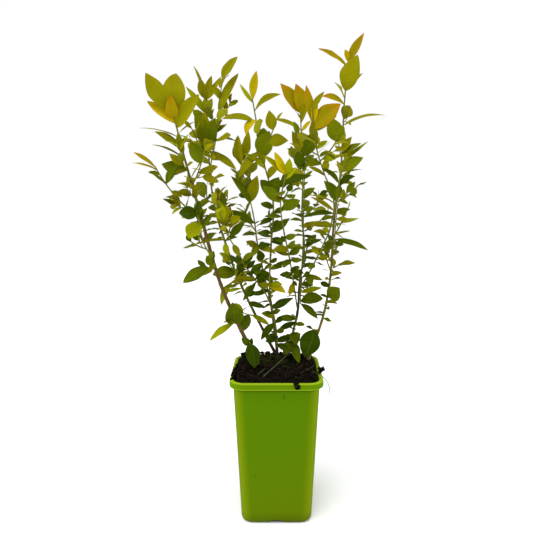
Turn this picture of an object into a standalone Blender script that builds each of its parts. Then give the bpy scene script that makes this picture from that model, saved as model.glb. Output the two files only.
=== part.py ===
# Blueberry bush in a square nursery pot: the pot, its peat, its canes and boughs and their leafy shoots.
# Metres, +Z up. The origin is the middle of the pot's flat underside, and -Y faces the viewer.

import math
import random
from collections import namedtuple

import bmesh
import bpy
from mathutils import Matrix, Vector
from mathutils.bvhtree import BVHTree

MM = 0.001
CLEAR = 0.3 * MM

# Pot, in millimetres: a tapered square with round corners, a proud rim band and four drain notches
POT_HEIGHT = 198.0
POT_FOOT_WIDTH = 93.8
POT_NECK_WIDTH = 110.5
POT_RIM_WIDTH = 120.0
POT_RIM_HEIGHT = 9.0
POT_RIM_ROUND = 1.6
POT_MOUTH_WIDTH = 109.0
POT_WALL = 1.6
POT_FLOOR = 2.4
POT_CORNER = 15.0
POT_RIM_CORNER = 19.0
POT_STEP_DROP = 4.0
POT_CORNER_STEPS = 5
POT_HEEL = 3.5
NOTCH_WIDTH = 19.0
NOTCH_HEIGHT = 5.0
NOTCH_DEPTH = 7.0
NOTCH_SHOULDER = 0.35
NOTCH_TOP_SHARE = 0.82
CUT_PAST = 3.0

# Peat, in millimetres: a plug with a level middle, where the canes stand, and a sunk edge
PEAT_TOP = 204.0
PEAT_EDGE = 192.0
PEAT_LEVEL_SHARE = 0.88
PEAT_SHOULDER_SHARE = 0.96
PEAT_SHOULDER = 200.5
PEAT_BELOW_STEP = 2.0

# Canes and boughs: what one springs from, the points it passes in millimetres, its radii, and
# the height where its leafy shoot takes over. A cane stands on the peat, a bough on its host.
Cane = namedtuple("Cane", "name host start foot_radius neck_radius leafy way")
CANES = (
    Cane("left", None, (-25, -5), 2.7, 2.0, 412,
         ((-69, -25, 312), (-94, -38, 412), (-108, -46, 470), (-120, -53, 526))),
    Cane("left_back", None, (1, 30), 2.0, 1.4, 436,
         ((-16, 34, 236), (-47, 43, 298), (-68, 52, 350), (-91, 61, 435), (-97, 65, 562))),
    Cane("centre", None, (2, 12), 1.4, 1.1, 424,
         ((-1, 7, 253), (-9, 2, 303), (-7, -4, 366), (-4, -8, 420), (-16, -14, 471), (-29, -25, 543))),
    Cane("left_front", "centre", 282, 1.0, 0.9, 368,
         ((-16, -6, 305), (-35, -24, 334), (-50, -43, 365), (-61, -57, 388), (-68, -76, 424))),
    Cane("back_left", None, (1, 44), 1.4, 1.0, 410,
         ((-4, 52, 242), (-10, 68, 279), (-22, 90, 328), (-30, 102, 365), (-36, 107, 407),
          (-56, 114, 486))),
    Cane("back_right", None, (17, 27), 1.7, 1.2, 432,
         ((21, 29, 232), (30, 33, 268), (32, 39, 306), (39, 48, 354), (36, 54, 403), (37, 60, 466),
          (33, 66, 545))),
    Cane("front", "back_right", 270, 1.0, 0.9, 396,
         ((25, 24, 301), (18, 2, 343), (13, -14, 367), (7, -34, 396), (5, -50, 423), (11, -70, 452))),
    Cane("rear", None, (19, 46), 1.3, 1.0, 372,
         ((29, 62, 255), (36, 80, 302), (40, 98, 350), (41, 108, 395), (42, 114, 440), (43, 118, 470))),
    Cane("right", None, (43, 12), 1.9, 1.4, 438,
         ((58, 13, 248), (67, 15, 280), (74, 18, 330), (77, 20, 397), (85, 22, 462), (88, 24, 542),
          (92, 22, 600))),
    Cane("right_front", "right", 396, 1.0, 0.9, 452,
         ((74, 8, 430), (63, -6, 450), (52, -26, 474), (45, -42, 493), (41, -56, 526))),
    Cane("slant", "back_right", 300, 1.0, 0.9, 402,
         ((45, 26, 325), (58, 2, 359), (67, -16, 384), (71, -32, 413), (79, -54, 469))),
)
CANE_STEP = 20.0
THICK_CANE = 2.5
NECK_STEP = 0.96
JOINT_CLEAR = 1.2 * CLEAR
FLARE = 0.35
FLARE_REACH = 9.0

# Leafy shoots that crown a cane: leaf length and spacing in millimetres, twigs and tint
Crown = namedtuple("Crown", "cane leaf spacing twigs tint")
CROWNS = (
    Crown("left", 34, 12.0, 1, "olive"),
    Crown("left_back", 32, 13.0, 1, "olive"),
    Crown("left_front", 22, 9.0, 1, "olive"),
    Crown("centre", 29, 13.0, 1, "olive"),
    Crown("back_left", 30, 9.5, 2, "green"),
    Crown("front", 26, 9.5, 1, "green"),
    Crown("back_right", 30, 12.0, 2, "olive"),
    Crown("rear", 30, 14.0, 1, "green"),
    Crown("right", 28, 24.0, 1, "olive"),
    Crown("right_front", 27, 14.0, 1, "olive"),
    Crown("slant", 21, 16.0, 0, "green"),
)

# Side shoots: the cane and the height they leave it, heading (0 right, 90 away, 180 left,
# 270 to the viewer) and rise in degrees, length in millimetres, then as for a crown
Side = namedtuple("Side", "name cane height heading rise length leaf spacing twigs tint")
SIDES = (
    Side("left_arch", "left", 398, 205, 37, 80, 22, 12.0, 0, "olive"),
    Side("left_shelf", "left", 386, 262, 25, 36, 23, 8.5, 0, "green"),
    Side("left_knot", "left", 338, 235, 5, 16, 20, 7.0, 0, "green"),
    Side("left_inner", "left", 312, 40, 20, 40, 21, 8.5, 0, "green"),
    Side("left_step", "left", 264, 235, 15, 11, 18, 7.0, 0, "green"),
    Side("left_heel", "left", 230, 275, 30, 11, 15, 7.0, 0, "deep"),
    Side("left_reach", "left", 352, 125, 30, 52, 27, 9.0, 1, "green"),
    Side("left_back_low", "left_back", 262, 205, 10, 24, 20, 8.0, 0, "green"),
    Side("left_back_far", "left_back", 300, 105, 28, 54, 27, 9.0, 1, "deep"),
    Side("left_back_wing", "left_back", 395, 75, 30, 50, 29, 9.0, 1, "olive"),
    Side("left_back_out", "left_back", 418, 170, 30, 44, 27, 9.0, 1, "green"),
    Side("centre_high", "centre", 372, 95, 35, 38, 25, 8.5, 0, "deep"),
    Side("back_left_high", "back_left", 378, 120, 30, 48, 28, 9.0, 1, "green"),
    Side("back_right_mid", "back_right", 330, 75, 28, 52, 27, 13.0, 0, "deep"),
    Side("back_right_high", "back_right", 380, 345, 25, 40, 24, 12.0, 0, "olive"),
    Side("right_foot", "right", 248, 215, 5, 11, 15, 7.0, 0, "deep"),
    Side("right_out", "right", 332, 350, 20, 12, 16, 7.0, 0, "olive"),
    Side("right_back", "right", 328, 100, 28, 50, 27, 17.0, 0, "green"),
    Side("right_wing", "right", 374, 55, 32, 48, 24, 12.0, 0, "olive"),
    Side("right_high", "right", 420, 330, 25, 36, 18, 14.0, 0, "green"),
)

# Climbing shoots: each lies along its cane between two heights, on the side that its heading names,
# and carries small leaves
Climber = namedtuple("Climber", "name cane foot top heading leaf spacing tint")
CLIMBERS = (
    Climber("left_back_mid", "left_back", 262, 352, 270, 20, 8.5, "green"),
    Climber("left_back_bend", "left_back", 353, 434, 270, 23, 8.5, "green"),
    Climber("left_front_low", "left_front", 306, 366, 270, 20, 8.5, "deep"),
    Climber("centre_foot", "centre", 214, 288, 270, 20, 8.5, "deep"),
    Climber("centre_low", "centre", 291, 352, 270, 20, 8.5, "green"),
    Climber("centre_mid", "centre", 353, 424, 270, 22, 8.5, "deep"),
    Climber("back_left_low", "back_left", 246, 334, 270, 22, 8.5, "green"),
    Climber("back_left_mid", "back_left", 335, 408, 270, 23, 8.5, "deep"),
    Climber("front_foot", "back_right", 212, 268, 270, 19, 8.5, "green"),
    Climber("front_low", "front", 306, 392, 270, 20, 8.5, "green"),
    Climber("back_right_low", "back_right", 262, 332, 20, 20, 11.0, "deep"),
    Climber("back_right_bend", "back_right", 344, 428, 270, 21, 12.0, "green"),
    Climber("right_low", "right", 256, 346, 270, 20, 13.0, "green"),
    Climber("right_in", "right", 348, 434, 330, 21, 13.0, "green"),
    Climber("slant_low", "slant", 318, 400, 270, 16, 18.0, "green"),
    Climber("rear_low", "rear", 268, 368, 270, 23, 11.0, "deep"),
)
CLIMB_RADIUS = 0.8
CLIMB_AIR = 0.25 * MM

# How far the leaves of a shoot spread from its stem, at its foot and at its tip, in degrees
LEVEL_SPREAD = (92.0, 64.0)
UPWARD_SPREAD = (66.0, 30.0)

SIDE_LIFT = 26.0
STEEPEST = 84.0
SIDE_RADIUS = 1.05
TWIG_RADIUS = 0.95
TIP_RADIUS = 0.8
SHOOT_STEP = 20.0

# A second leader that forks from the left_back crown: share along it, then points in millimetres
FORKS = {"left_back": (0.25, ((-84, 56, 505), (-78, 50, 545), (-72, 42, 584)))}

# Leaves that give the crown its outline: shoot, stem (0 the main one), share along it, offset of
# the tip from the root and width in millimetres, turn of the upper face (0 to the sky, 90 to the
# viewer) and bend in degrees, and tint
Marked = namedtuple("Marked", "shoot stem share to width turn bend tint")
MARKED = (
    Marked("left", 0, 1.00, (-27, -8, 39), 21, 70, 20, "olive"),
    Marked("left", 0, 0.95, (3, 8, 47), 27, 75, 45, "olive"),
    Marked("left", 0, 0.90, (-2, -9, 25), 15, 80, 15, "bronze"),
    Marked("left", 0, 0.86, (-31, -6, 24), 14, 50, 15, "gold"),
    Marked("left", 0, 0.82, (28, -6, 36), 17, 65, 30, "olive"),
    Marked("left", 0, 0.72, (-45, -8, 10), 6, 20, 25, "olive"),
    Marked("left", 0, 0.62, (11, -14, 14), 7, 60, 20, "lime"),
    Marked("left", 0, 0.60, (-30, -10, 20), 11, 45, 25, "olive"),
    Marked("left", 0, 0.50, (-37, -8, 17), 7, 25, 30, "olive"),
    Marked("left", 0, 0.76, (20, 4, 15), 4, 20, 25, "bronze"),
    Marked("left", 0, 0.57, (-3, -13, 23), 9, 75, 15, "lime"),
    Marked("left_back", 0, 0.83, (-29, 0, 38), 12, 45, 60, "lime"),
    Marked("left_back", 0, 1.00, (-7, -6, 27), 12, 60, 35, "olive"),
    Marked("left_back", 0, 1.00, (9, -8, 30), 11, 75, 20, "olive"),
    Marked("left_back", 0, 0.99, (-18, 6, 47), 5, 20, 60, "olive"),
    Marked("left_back", 0, 0.45, (-16, -14, 50), 21, 75, 20, "green"),
    Marked("left_back", 0, 0.48, (12, -14, 38), 20, 75, 25, "green"),
    Marked("left_back", 0, 0.50, (42, -6, 4), 10, 25, 75, "green"),
    Marked("left_back", 0, 0.44, (39, -8, -26), 13, 40, 45, "olive"),
    Marked("left_back", 1, 1.00, (21, 0, 28), 15, 45, 45, "olive"),
    Marked("left_back", 1, 0.98, (11, -6, 5), 6, 40, 15, "bronze"),
    Marked("left_back", 1, 0.64, (28, -4, 49), 13, 50, 40, "olive"),
    Marked("left_back", 0, 1.00, (22, -7, 29), 11, 60, 20, "olive"),
    Marked("left_back", 0, 0.56, (-2, -17, 36), 13, 75, 20, "olive"),
    Marked("centre", 0, 1.00, (5, -2, 33), 10, 85, 10, "gold"),
    Marked("centre", 0, 0.96, (-16, -3, 22), 7, 45, 15, "lime"),
    Marked("centre", 0, 0.88, (32, -5, 19), 11, 40, 55, "olive"),
    Marked("centre", 0, 0.77, (-42, -5, 4), 11, 45, 75, "olive"),
    Marked("centre", 0, 0.80, (-12, -11, -19), 12, 40, 75, "gold"),
    Marked("centre", 0, 0.50, (-28, -6, -33), 12, 55, 40, "olive"),
    Marked("centre", 0, 0.43, (8, -10, 31), 23, 75, 25, "green"),
    Marked("centre", 0, 0.36, (-9, -7, 33), 10, 70, 15, "olive"),
    Marked("centre", 0, 0.30, (-28, -5, 20), 11, 38, 50, "lime"),
    Marked("centre", 0, 0.10, (51, -9, 17), 13, 60, 25, "deep"),
    Marked("centre", 0, 0.05, (9, -12, 21), 19, 70, 20, "green"),
    Marked("centre", 0, 0.03, (-15, -10, 20), 16, 70, 25, "deep"),
    Marked("back_left", 0, 0.92, (13, -6, 46), 15, 65, 20, "olive"),
    Marked("back_left", 0, 0.88, (-3, -10, 42), 14, 70, 15, "olive"),
    Marked("back_left", 0, 0.10, (-29, -8, 41), 11, 65, 25, "green"),
    Marked("back_left", 0, 0.14, (11, -8, 39), 17, 70, 25, "olive"),
    Marked("front", 0, 1.00, (-13, -4, 25), 10, 70, 15, "gold"),
    Marked("front", 0, 0.97, (-26, -5, 22), 10, 50, 25, "olive"),
    Marked("front", 0, 0.98, (4, -6, 18), 9, 75, 20, "lime"),
    Marked("front", 0, 0.90, (14, -8, 12), 9, 60, 20, "lime"),
    Marked("back_right", 0, 1.00, (-28, -5, 38), 18, 75, 20, "bronze"),
    Marked("back_right", 0, 0.98, (-7, -8, 38), 19, 75, 20, "bronze"),
    Marked("back_right", 0, 0.86, (11, -5, 33), 9, 65, 15, "olive"),
    Marked("back_right", 0, 0.78, (-40, -5, 14), 8, 45, 40, "olive"),
    Marked("back_right", 0, 0.76, (13, -8, 14), 7, 50, 15, "gold"),
    Marked("back_right", 0, 0.50, (-15, -12, 29), 14, 75, 20, "olive"),
    Marked("back_right", 0, 0.46, (17, -12, 34), 19, 75, 20, "green"),
    Marked("back_right", 0, 0.34, (-8, -11, 20), 16, 75, 20, "deep"),
    Marked("right", 0, 1.00, (19, -3, 34), 11, 70, 10, "bronze"),
    Marked("right", 0, 0.99, (-5, -4, 14), 7, 70, 10, "gold"),
    Marked("right", 0, 0.95, (-39, -3, 22), 8, 50, 25, "bronze"),
    Marked("right", 0, 0.77, (14, -6, 43), 25, 75, 20, "olive"),
    Marked("right", 0, 0.66, (-30, -5, 10), 11, 50, 60, "bronze"),
    Marked("right", 0, 0.50, (55, -5, 12), 9, 35, 50, "olive"),
    Marked("right", 0, 0.36, (-20, -10, 33), 22, 65, 20, "green"),
    Marked("right", 0, 0.27, (24, -8, 14), 11, 50, 30, "green"),
    Marked("right", 0, 0.20, (34, -4, 28), 7, 40, 15, "lime"),
    Marked("right", 0, 0.13, (28, -10, 18), 19, 60, 25, "green"),
    Marked("right", 0, 0.79, (23, 6, 21), 6, 60, 15, "olive"),
    Marked("right", 0, 0.08, (29, -4, 11), 4, 30, 50, "olive"),
    Marked("right", 0, 0.03, (15, -6, 19), 7, 60, 15, "lime"),
    Marked("right", 0, 0.02, (21, -6, -1), 7, 35, 75, "olive"),
    Marked("right_front", 0, 1.00, (13, -4, 19), 7, 65, 10, "olive"),
    Marked("right_front", 0, 0.80, (-9, -3, 44), 10, 75, 10, "bronze"),
    Marked("right_front", 0, 0.84, (3, -7, 27), 8, 80, 10, "gold"),
    Marked("right_front", 0, 0.76, (30, -8, 26), 22, 70, 45, "bronze"),
    Marked("right_front", 0, 0.50, (-4, -5, 38), 9, 75, 10, "olive"),
    Marked("right_front", 0, 0.20, (33, -6, 14), 7, 45, 30, "olive"),
    Marked("right_front", 0, 0.73, (26, -5, 16), 14, 60, 25, "olive"),
    Marked("right_front", 0, 0.35, (11, -4, 6), 6, 55, 20, "green"),
    Marked("right_front", 0, 0.36, (-10, -4, 5), 4, 40, 20, "bronze"),
    Marked("right_front", 0, 0.03, (-22, -5, 11), 9, 45, 20, "olive"),
    Marked("right_front", 0, 0.16, (20, -5, -19), 9, 40, 60, "deep"),
    Marked("slant", 0, 0.10, (-30, -5, 17), 8, 45, 25, "olive"),
    Marked("slant", 0, 0.05, (-38, -6, -5), 9, 45, 30, "deep"),
    Marked("slant", 0, 0.28, (-16, -8, 24), 15, 60, 35, "deep"),
    Marked("slant", 0, 0.30, (3, -7, 20), 10, 65, 25, "green"),
    Marked("slant", 0, 0.22, (-33, -6, 11), 5, 30, 40, "olive"),
    Marked("left_front", 0, 0.20, (20, -6, 19), 11, 65, 25, "deep"),
    Marked("left_front", 0, 0.12, (-45, -6, -6), 6, 30, 30, "olive"),
    Marked("left_front", 0, 0.03, (8, -8, -14), 8, 60, 30, "olive"),
    Marked("left_front", 0, 0.55, (-3, -9, 25), 12, 75, 20, "lime"),
    Marked("left_arch", 0, 0.97, (-24, -4, 17), 7, 35, 30, "bronze"),
    Marked("left_arch", 0, 0.92, (-29, -7, 8), 7, 30, 45, "gold"),
    Marked("left_arch", 0, 0.66, (-17, -5, 14), 6, 30, 15, "olive"),
    Marked("left_arch", 0, 0.70, (15, -7, 21), 10, 60, 30, "green"),
    Marked("left_arch", 0, 0.58, (14, -6, -8), 8, 45, 30, "olive"),
    Marked("left_shelf", 0, 0.90, (-20, -8, 1), 18, 55, 35, "deep"),
    Marked("left_shelf", 0, 0.45, (-13, -10, -18), 20, 60, 30, "lime"),
    Marked("left_knot", 0, 0.60, (-31, -6, -18), 17, 45, 45, "green"),
    Marked("left_inner", 0, 0.30, (-14, 8, -31), 9, 60, 30, "lime"),
    Marked("left_step", 0, 0.12, (-2, -10, 30), 24, 75, 45, "green"),
    Marked("left_step", 0, 0.35, (-31, -6, -22), 11, 45, 50, "lime"),
    Marked("left_heel", 0, 0.90, (7, -11, -30), 19, 65, 30, "deep"),
    Marked("right_foot", 0, 0.50, (-14, -13, -35), 28, 65, 25, "deep"),
    Marked("right_out", 0, 0.60, (24, -6, 4), 9, 40, 20, "olive"),
    Marked("right_in", 0, 0.66, (16, -7, -1), 8, 50, 25, "olive"),
    Marked("right_in", 0, 0.20, (44, -8, -14), 11, 45, 45, "green"),
    Marked("right_in", 0, 0.33, (20, -5, 4), 4, 40, 20, "olive"),
    Marked("right_in", 0, 0.50, (-31, -12, 1), 10, 60, 20, "olive"),
    Marked("slant_low", 0, 0.92, (-19, -7, 5), 9, 50, 20, "olive"),
    Marked("left_back_low", 0, 0.30, (-13, -8, -24), 17, 60, 35, "green"),
    Marked("left_back_low", 0, 0.10, (24, -8, -12), 8, 50, 30, "lime"),
    Marked("left_back_mid", 0, 0.97, (-15, -8, 10), 9, 55, 25, "lime"),
    Marked("left_back_mid", 0, 0.70, (-32, -8, -1), 20, 62, 30, "green"),
    Marked("left_back_mid", 0, 0.40, (-25, -8, -4), 6, 45, 25, "lime"),
    Marked("left_back_mid", 0, 0.12, (24, -8, -6), 9, 50, 25, "deep"),
    Marked("left_back_bend", 0, 0.05, (6, -8, -19), 9, 60, 25, "lime"),
    Marked("left_back_bend", 0, 0.62, (22, -7, -2), 7, 50, 25, "green"),
    Marked("left_front_low", 0, 0.10, (-22, -12, 3), 7, 50, 25, "olive"),
    Marked("left_front_low", 0, 0.00, (-17, -8, -24), 7, 50, 25, "deep"),
    Marked("left_front_low", 0, 0.04, (-31, -8, -2), 8, 45, 25, "olive"),
    Marked("centre_foot", 0, 0.60, (-19, -8, -22), 10, 60, 30, "deep"),
    Marked("centre_foot", 0, 0.10, (18, -10, -7), 10, 60, 30, "deep"),
    Marked("centre_foot", 0, 0.95, (29, -9, 16), 11, 60, 30, "deep"),
    Marked("centre_foot", 0, 0.74, (-17, -8, 7), 10, 60, 30, "olive"),
    Marked("centre_low", 0, 0.20, (21, -8, -8), 11, 60, 70, "gold"),
    Marked("centre_low", 0, 0.25, (17, -9, 1), 8, 60, 25, "lime"),
    Marked("centre_low", 0, 0.06, (-26, 6, -8), 8, 50, 25, "deep"),
    Marked("centre_mid", 0, 0.60, (-17, -8, -8), 8, 60, 25, "deep"),
    Marked("centre_mid", 0, 0.30, (23, -10, 19), 11, 65, 20, "deep"),
    Marked("back_left_low", 0, 0.98, (-3, -10, 19), 13, 70, 20, "deep"),
    Marked("back_left_low", 0, 0.94, (-13, -9, -15), 10, 60, 25, "deep"),
    Marked("back_left_low", 0, 0.85, (-4, -8, -27), 14, 60, 15, "deep"),
    Marked("back_left_low", 0, 0.74, (14, -8, -14), 10, 60, 20, "deep"),
    Marked("back_left_mid", 0, 0.02, (-18, -8, 10), 11, 60, 25, "olive"),
    Marked("back_left_mid", 0, 0.03, (27, -8, -9), 11, 60, 25, "olive"),
    Marked("back_left_mid", 0, 0.14, (-9, -15, -18), 11, 60, 20, "olive"),
    Marked("back_left_mid", 0, 0.95, (-40, -8, 20), 13, 60, 25, "deep"),
    Marked("front_low", 0, 0.40, (-22, -7, -1), 7, 50, 25, "deep"),
    Marked("front_low", 0, 0.02, (-6, -10, -16), 8, 65, 20, "gold"),
    Marked("front_foot", 0, 0.25, (-25, -6, -4), 10, 50, 25, "deep"),
    Marked("front_foot", 0, 0.35, (-12, -7, 0), 5, 50, 25, "green"),
    Marked("front_foot", 0, 0.45, (4, -16, -14), 15, 55, 35, "green"),
    Marked("front_foot", 0, 0.85, (-26, -9, -10), 9, 55, 25, "deep"),
    Marked("front_foot", 0, 0.96, (-28, -8, 3), 10, 55, 25, "green"),
    Marked("front_foot", 0, 0.06, (-11, -14, -13), 16, 60, 20, "green"),
    Marked("front_foot", 0, 0.14, (10, -32, -22), 13, 60, 15, "green"),
    Marked("back_right_low", 0, 0.02, (24, -10, -20), 10, 50, 30, "green"),
    Marked("back_right_low", 0, 0.12, (31, -10, 5), 17, 60, 30, "green"),
    Marked("back_right_low", 0, 0.42, (29, -8, 8), 10, 50, 40, "lime"),
    Marked("back_right_bend", 0, 0.03, (-31, -8, 0), 8, 50, 50, "olive"),
    Marked("back_right_bend", 0, 0.10, (24, -8, 9), 7, 50, 25, "deep"),
    Marked("rear_low", 0, 0.86, (40, -8, 5), 8, 45, 60, "olive"),
    Marked("right_low", 0, 0.42, (15, -8, 14), 22, 65, 30, "green"),
    Marked("slant_low", 0, 0.04, (20, -8, -6), 8, 55, 25, "olive"),
)

# The rule that sets the other leaves, with angles in degrees. Each stands two fifths of a turn
# round from the one before, and is turned on by a swing where it would touch another.
LEAF_TURN = 144.0
TURN_SWAY = 16.0
SPREAD_SWAY = 9.0
BEND_RANGE = (12.0, 48.0)
ROLL = 34.0
WIDTH_SHARE = 0.54
SIZE_SWAY = 0.14
DROOP = Vector((0, 0, -0.10))
SKYWARD = Vector((0, -0.35, 0.45))
CROWN_AXIS = Vector((0, 25, 0)) * MM
FACE_OUT = 0.50
ALONG_STEM = 0.45
BARE_SHARE = 0.10
OTHER_TINT = 0.18
SWINGS = (0.0, 26.0, -26.0, 52.0, -52.0, 80.0, -80.0)
NODE_GAP = 3.5 * MM
CROWN_BOX = (Vector((-186, -128, 206)) * MM, Vector((146, 146, 634)) * MM)

# Side twigs of a shoot: where along it they may start, and how long they are beside it
TWIG_FROM = 0.10
TWIG_ROOM = 0.50
TWIG_SHARE = 0.50
TWIG_REACH = 44 * MM
TWIG_SWAY = (0.75, 1.1)
TWIG_VIGOUR = 0.85

# Leaf blade: how far along it the wide sections lie, its thickness, the root sunk in its stem,
# and the air kept round it
MARKED_STATIONS = (0.30, 0.68)
RULE_STATIONS = (0.42,)
LEAF_THICK = 0.5 * MM
LEAF_THICK_SHARE = 0.012
ROOT_HALF = 0.32 * MM
TIP_SINK = 1.2 * MM
GUARD = 0.45 * MM
GUARD_FROM = 3.2 * MM

TINTS = ("deep", "green", "olive", "lime", "gold", "bronze")
COLOURS = {
    "deep": (0.035, 0.075, 0.004),
    "green": (0.075, 0.145, 0.004),
    "olive": (0.190, 0.225, 0.006),
    "lime": (0.250, 0.310, 0.008),
    "gold": (0.480, 0.330, 0.010),
    "bronze": (0.430, 0.150, 0.010),
    "pot": (0.140, 0.290, 0.002),
    "peat": (0.014, 0.008, 0.005),
    "bark": (0.130, 0.070, 0.022),
}
LEAF_ROUGHNESS = 0.45
POT_ROUGHNESS = 0.38
PEAT_ROUGHNESS = 0.95
BARK_ROUGHNESS = 0.70


# Scene and materials


def clear_scene():
    for thing in list(bpy.data.objects):
        bpy.data.objects.remove(thing, do_unlink=True)


def make_material(name, roughness):
    material = bpy.data.materials.new(name)
    material.use_nodes = True
    shader = material.node_tree.nodes["Principled BSDF"]
    shader.inputs["Base Color"].default_value = (*COLOURS[name], 1.0)
    shader.inputs["Roughness"].default_value = roughness
    shader.inputs["Metallic"].default_value = 0.0
    return material


def add_object(name, bm, material=None, smooth=False):
    bmesh.ops.recalc_face_normals(bm, faces=bm.faces)
    mesh = bpy.data.meshes.new(name)
    bm.to_mesh(mesh)
    bm.free()
    if material:
        mesh.materials.append(material)
    if smooth:
        mesh.shade_smooth()
    thing = bpy.data.objects.new(name, mesh)
    bpy.context.scene.collection.objects.link(thing)
    return thing


# Paths and tubes


def spline(points, step):
    """A smooth curve through the points, as evenly spaced places about a step apart."""
    ends = [2 * points[0] - points[1], *points, 2 * points[-1] - points[-2]]
    fine = []
    for before, start, end, after in zip(ends, ends[1:], ends[2:], ends[3:]):
        for k in range(12):
            t = k / 12
            ease = 3 * t * t - 2 * t**3
            pull = (end - before) * (t - 2 * t * t + t**3)
            push = (after - start) * (t**3 - t * t)
            fine.append(start.lerp(end, ease) + (pull + push) / 2)
    fine.append(points[-1])
    return even(fine, step)


def even(path, step):
    """The path as places evenly spaced along it."""
    reach = [0.0]
    for a, b in zip(path, path[1:]):
        reach.append(reach[-1] + (b - a).length)
    count = max(2, round(reach[-1] / step))
    places = []
    k = 0
    for i in range(count + 1):
        goal = reach[-1] * i / count
        while k < len(path) - 2 and reach[k + 1] < goal:
            k += 1
        share = (goal - reach[k]) / (reach[k + 1] - reach[k])
        places.append(path[k].lerp(path[k + 1], share))
    return places


def point_on(path, share):
    """Place and direction at a share of an evenly spaced path."""
    spot = min(max(share, 0.0), 1.0) * (len(path) - 1)
    k = min(int(spot), len(path) - 2)
    return path[k].lerp(path[k + 1], spot - k), (path[k + 1] - path[k]).normalized()


def share_at_height(path, height):
    for k in range(len(path) - 1):
        if path[k + 1].z >= height:
            return (k + (height - path[k].z) / (path[k + 1].z - path[k].z)) / (len(path) - 1)
    return 1.0


def square_to(direction):
    """Two unit vectors square to a direction and to each other."""
    side = direction.cross(Vector((0.31, 0.95, 0.05))).normalized()
    return side, direction.cross(side).normalized()


def tube_rings(path, radii, sides, flat_foot=False):
    """A ring of points round each place of a path, carried along it without twisting."""
    rings = []
    side = None
    for k, place in enumerate(path):
        ahead = (path[min(k + 1, len(path) - 1)] - path[max(k - 1, 0)]).normalized()
        if k == 0 and flat_foot:
            ahead = Vector((0, 0, 1))
        side = square_to(ahead)[0] if side is None else (side - ahead * side.dot(ahead)).normalized()
        other = ahead.cross(side)
        turns = [2 * math.pi * i / sides for i in range(sides)]
        rings.append([place + radii[k] * (math.cos(a) * side + math.sin(a) * other) for a in turns])
    return rings


def lift_cap(bm, cap, keep):
    """Extrudes a cap face, drops the old one unless it closes the foot, and gives the new one."""
    made = bmesh.ops.extrude_face_region(bm, geom=[cap])
    if not keep:
        bm.faces.remove(cap)
    return next(item for item in made["geom"] if isinstance(item, bmesh.types.BMFace))


def skin(bm, rings, point=None):
    """Extrudes a face from ring to ring, and draws the last one together at a point if given."""
    cap = bm.faces.new([bm.verts.new(place) for place in rings[0]])
    for k, ring in enumerate(rings[1:]):
        cap = lift_cap(bm, cap, keep=k == 0)
        for vert, place in zip(cap.verts, ring):
            vert.co = place
    if point is not None:
        cap = lift_cap(bm, cap, keep=False)
        bmesh.ops.pointmerge(bm, verts=cap.verts[:], merge_co=point)


def tree_of(bm):
    """The mesh as a search tree with its box, for finding what it would touch."""
    corners = [vert.co.copy() for vert in bm.verts]
    bm.verts.index_update()
    faces = [[vert.index for vert in face.verts] for face in bm.faces]
    low = Vector([min(corner[i] for corner in corners) for i in range(3)])
    high = Vector([max(corner[i] for corner in corners) for i in range(3)])
    bm.free()
    return BVHTree.FromPolygons(corners, faces), low, high


class Space:
    """What already stands in the crown. A newcomer is let in only where it touches nothing."""

    def __init__(self, bark=None):
        self.taken = []
        self.bark = bark

    def free_for(self, shape, owners=()):
        tree, low, high = shape
        for owner, (other, other_low, other_high) in self.taken:
            if owner in owners:
                continue
            if any(low[i] > other_high[i] or high[i] < other_low[i] for i in range(3)):
                continue
            if tree.overlap(other):
                return False
        return True

    def take(self, shape, owner):
        self.taken.append((owner, shape))


# Leaves


Leaf = namedtuple("Leaf", "root chord normal length width bend tint shoot stem stations")


def leaf_at(leaf, share):
    """Centre of the blade, its direction and its upper side at a share of its length."""
    bend = leaf.bend
    ahead = math.cos(bend / 2) * leaf.chord + math.sin(bend / 2) * leaf.normal
    upper = math.cos(bend / 2) * leaf.normal - math.sin(bend / 2) * leaf.chord
    turned = bend * share
    reach = leaf.length / bend
    place = leaf.root + reach * (math.sin(turned) * ahead - (1 - math.cos(turned)) * upper)
    along = math.cos(turned) * ahead - math.sin(turned) * upper
    above = math.cos(turned) * upper + math.sin(turned) * ahead
    return place, along, above


def blade_breadth(share):
    """Half the blade's breadth as a share of its greatest half breadth."""
    return math.sin(math.pi * share**0.9) ** 0.8


def blade_ring(leaf, share, guard=0.0):
    """Left edge, right edge and keel of the blade at a share of its length."""
    place, ahead, upper = leaf_at(leaf, share)
    across = ahead.cross(upper)
    half = leaf.width / 2 * blade_breadth(share) + guard
    thick = max(LEAF_THICK, LEAF_THICK_SHARE * leaf.length) + guard
    top = place + (thick / 3 + guard) * upper
    return [top - half * across, top + half * across, place - thick * upper]


def leaf_shape(leaf):
    bm = bmesh.new()
    place, ahead, upper = leaf_at(leaf, 0.0)
    across = ahead.cross(upper)
    top = place + ROOT_HALF * upper
    root = [top - ROOT_HALF * across, top + ROOT_HALF * across, place - ROOT_HALF * upper]
    tip = leaf_at(leaf, 1.0)[0]
    skin(bm, [root] + [blade_ring(leaf, share) for share in leaf.stations], tip)
    return bm


def leaf_guard(leaf):
    """The leaf with a little air round it, from just off its stem to past its tip."""
    bm = bmesh.new()
    first = GUARD_FROM / leaf.length
    shares = (first, *leaf.stations)
    place, ahead, _ = leaf_at(leaf, 1.0)
    skin(bm, [blade_ring(leaf, share, GUARD) for share in shares], place + 2 * GUARD * ahead)
    return tree_of(bm)


def in_crown(leaf):
    low, high = CROWN_BOX
    for share in (0.35, 0.7, 1.0):
        place = leaf_at(leaf, share)[0]
        if any(place[i] < low[i] or place[i] > high[i] for i in range(3)):
            return False
    return True


def leaf_root(stem, share):
    """Where a leaf springs from its stem, never nearer to its end than the sink."""
    return point_on(stem.path, min(share, 1 - TIP_SINK / stem.length))


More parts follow.
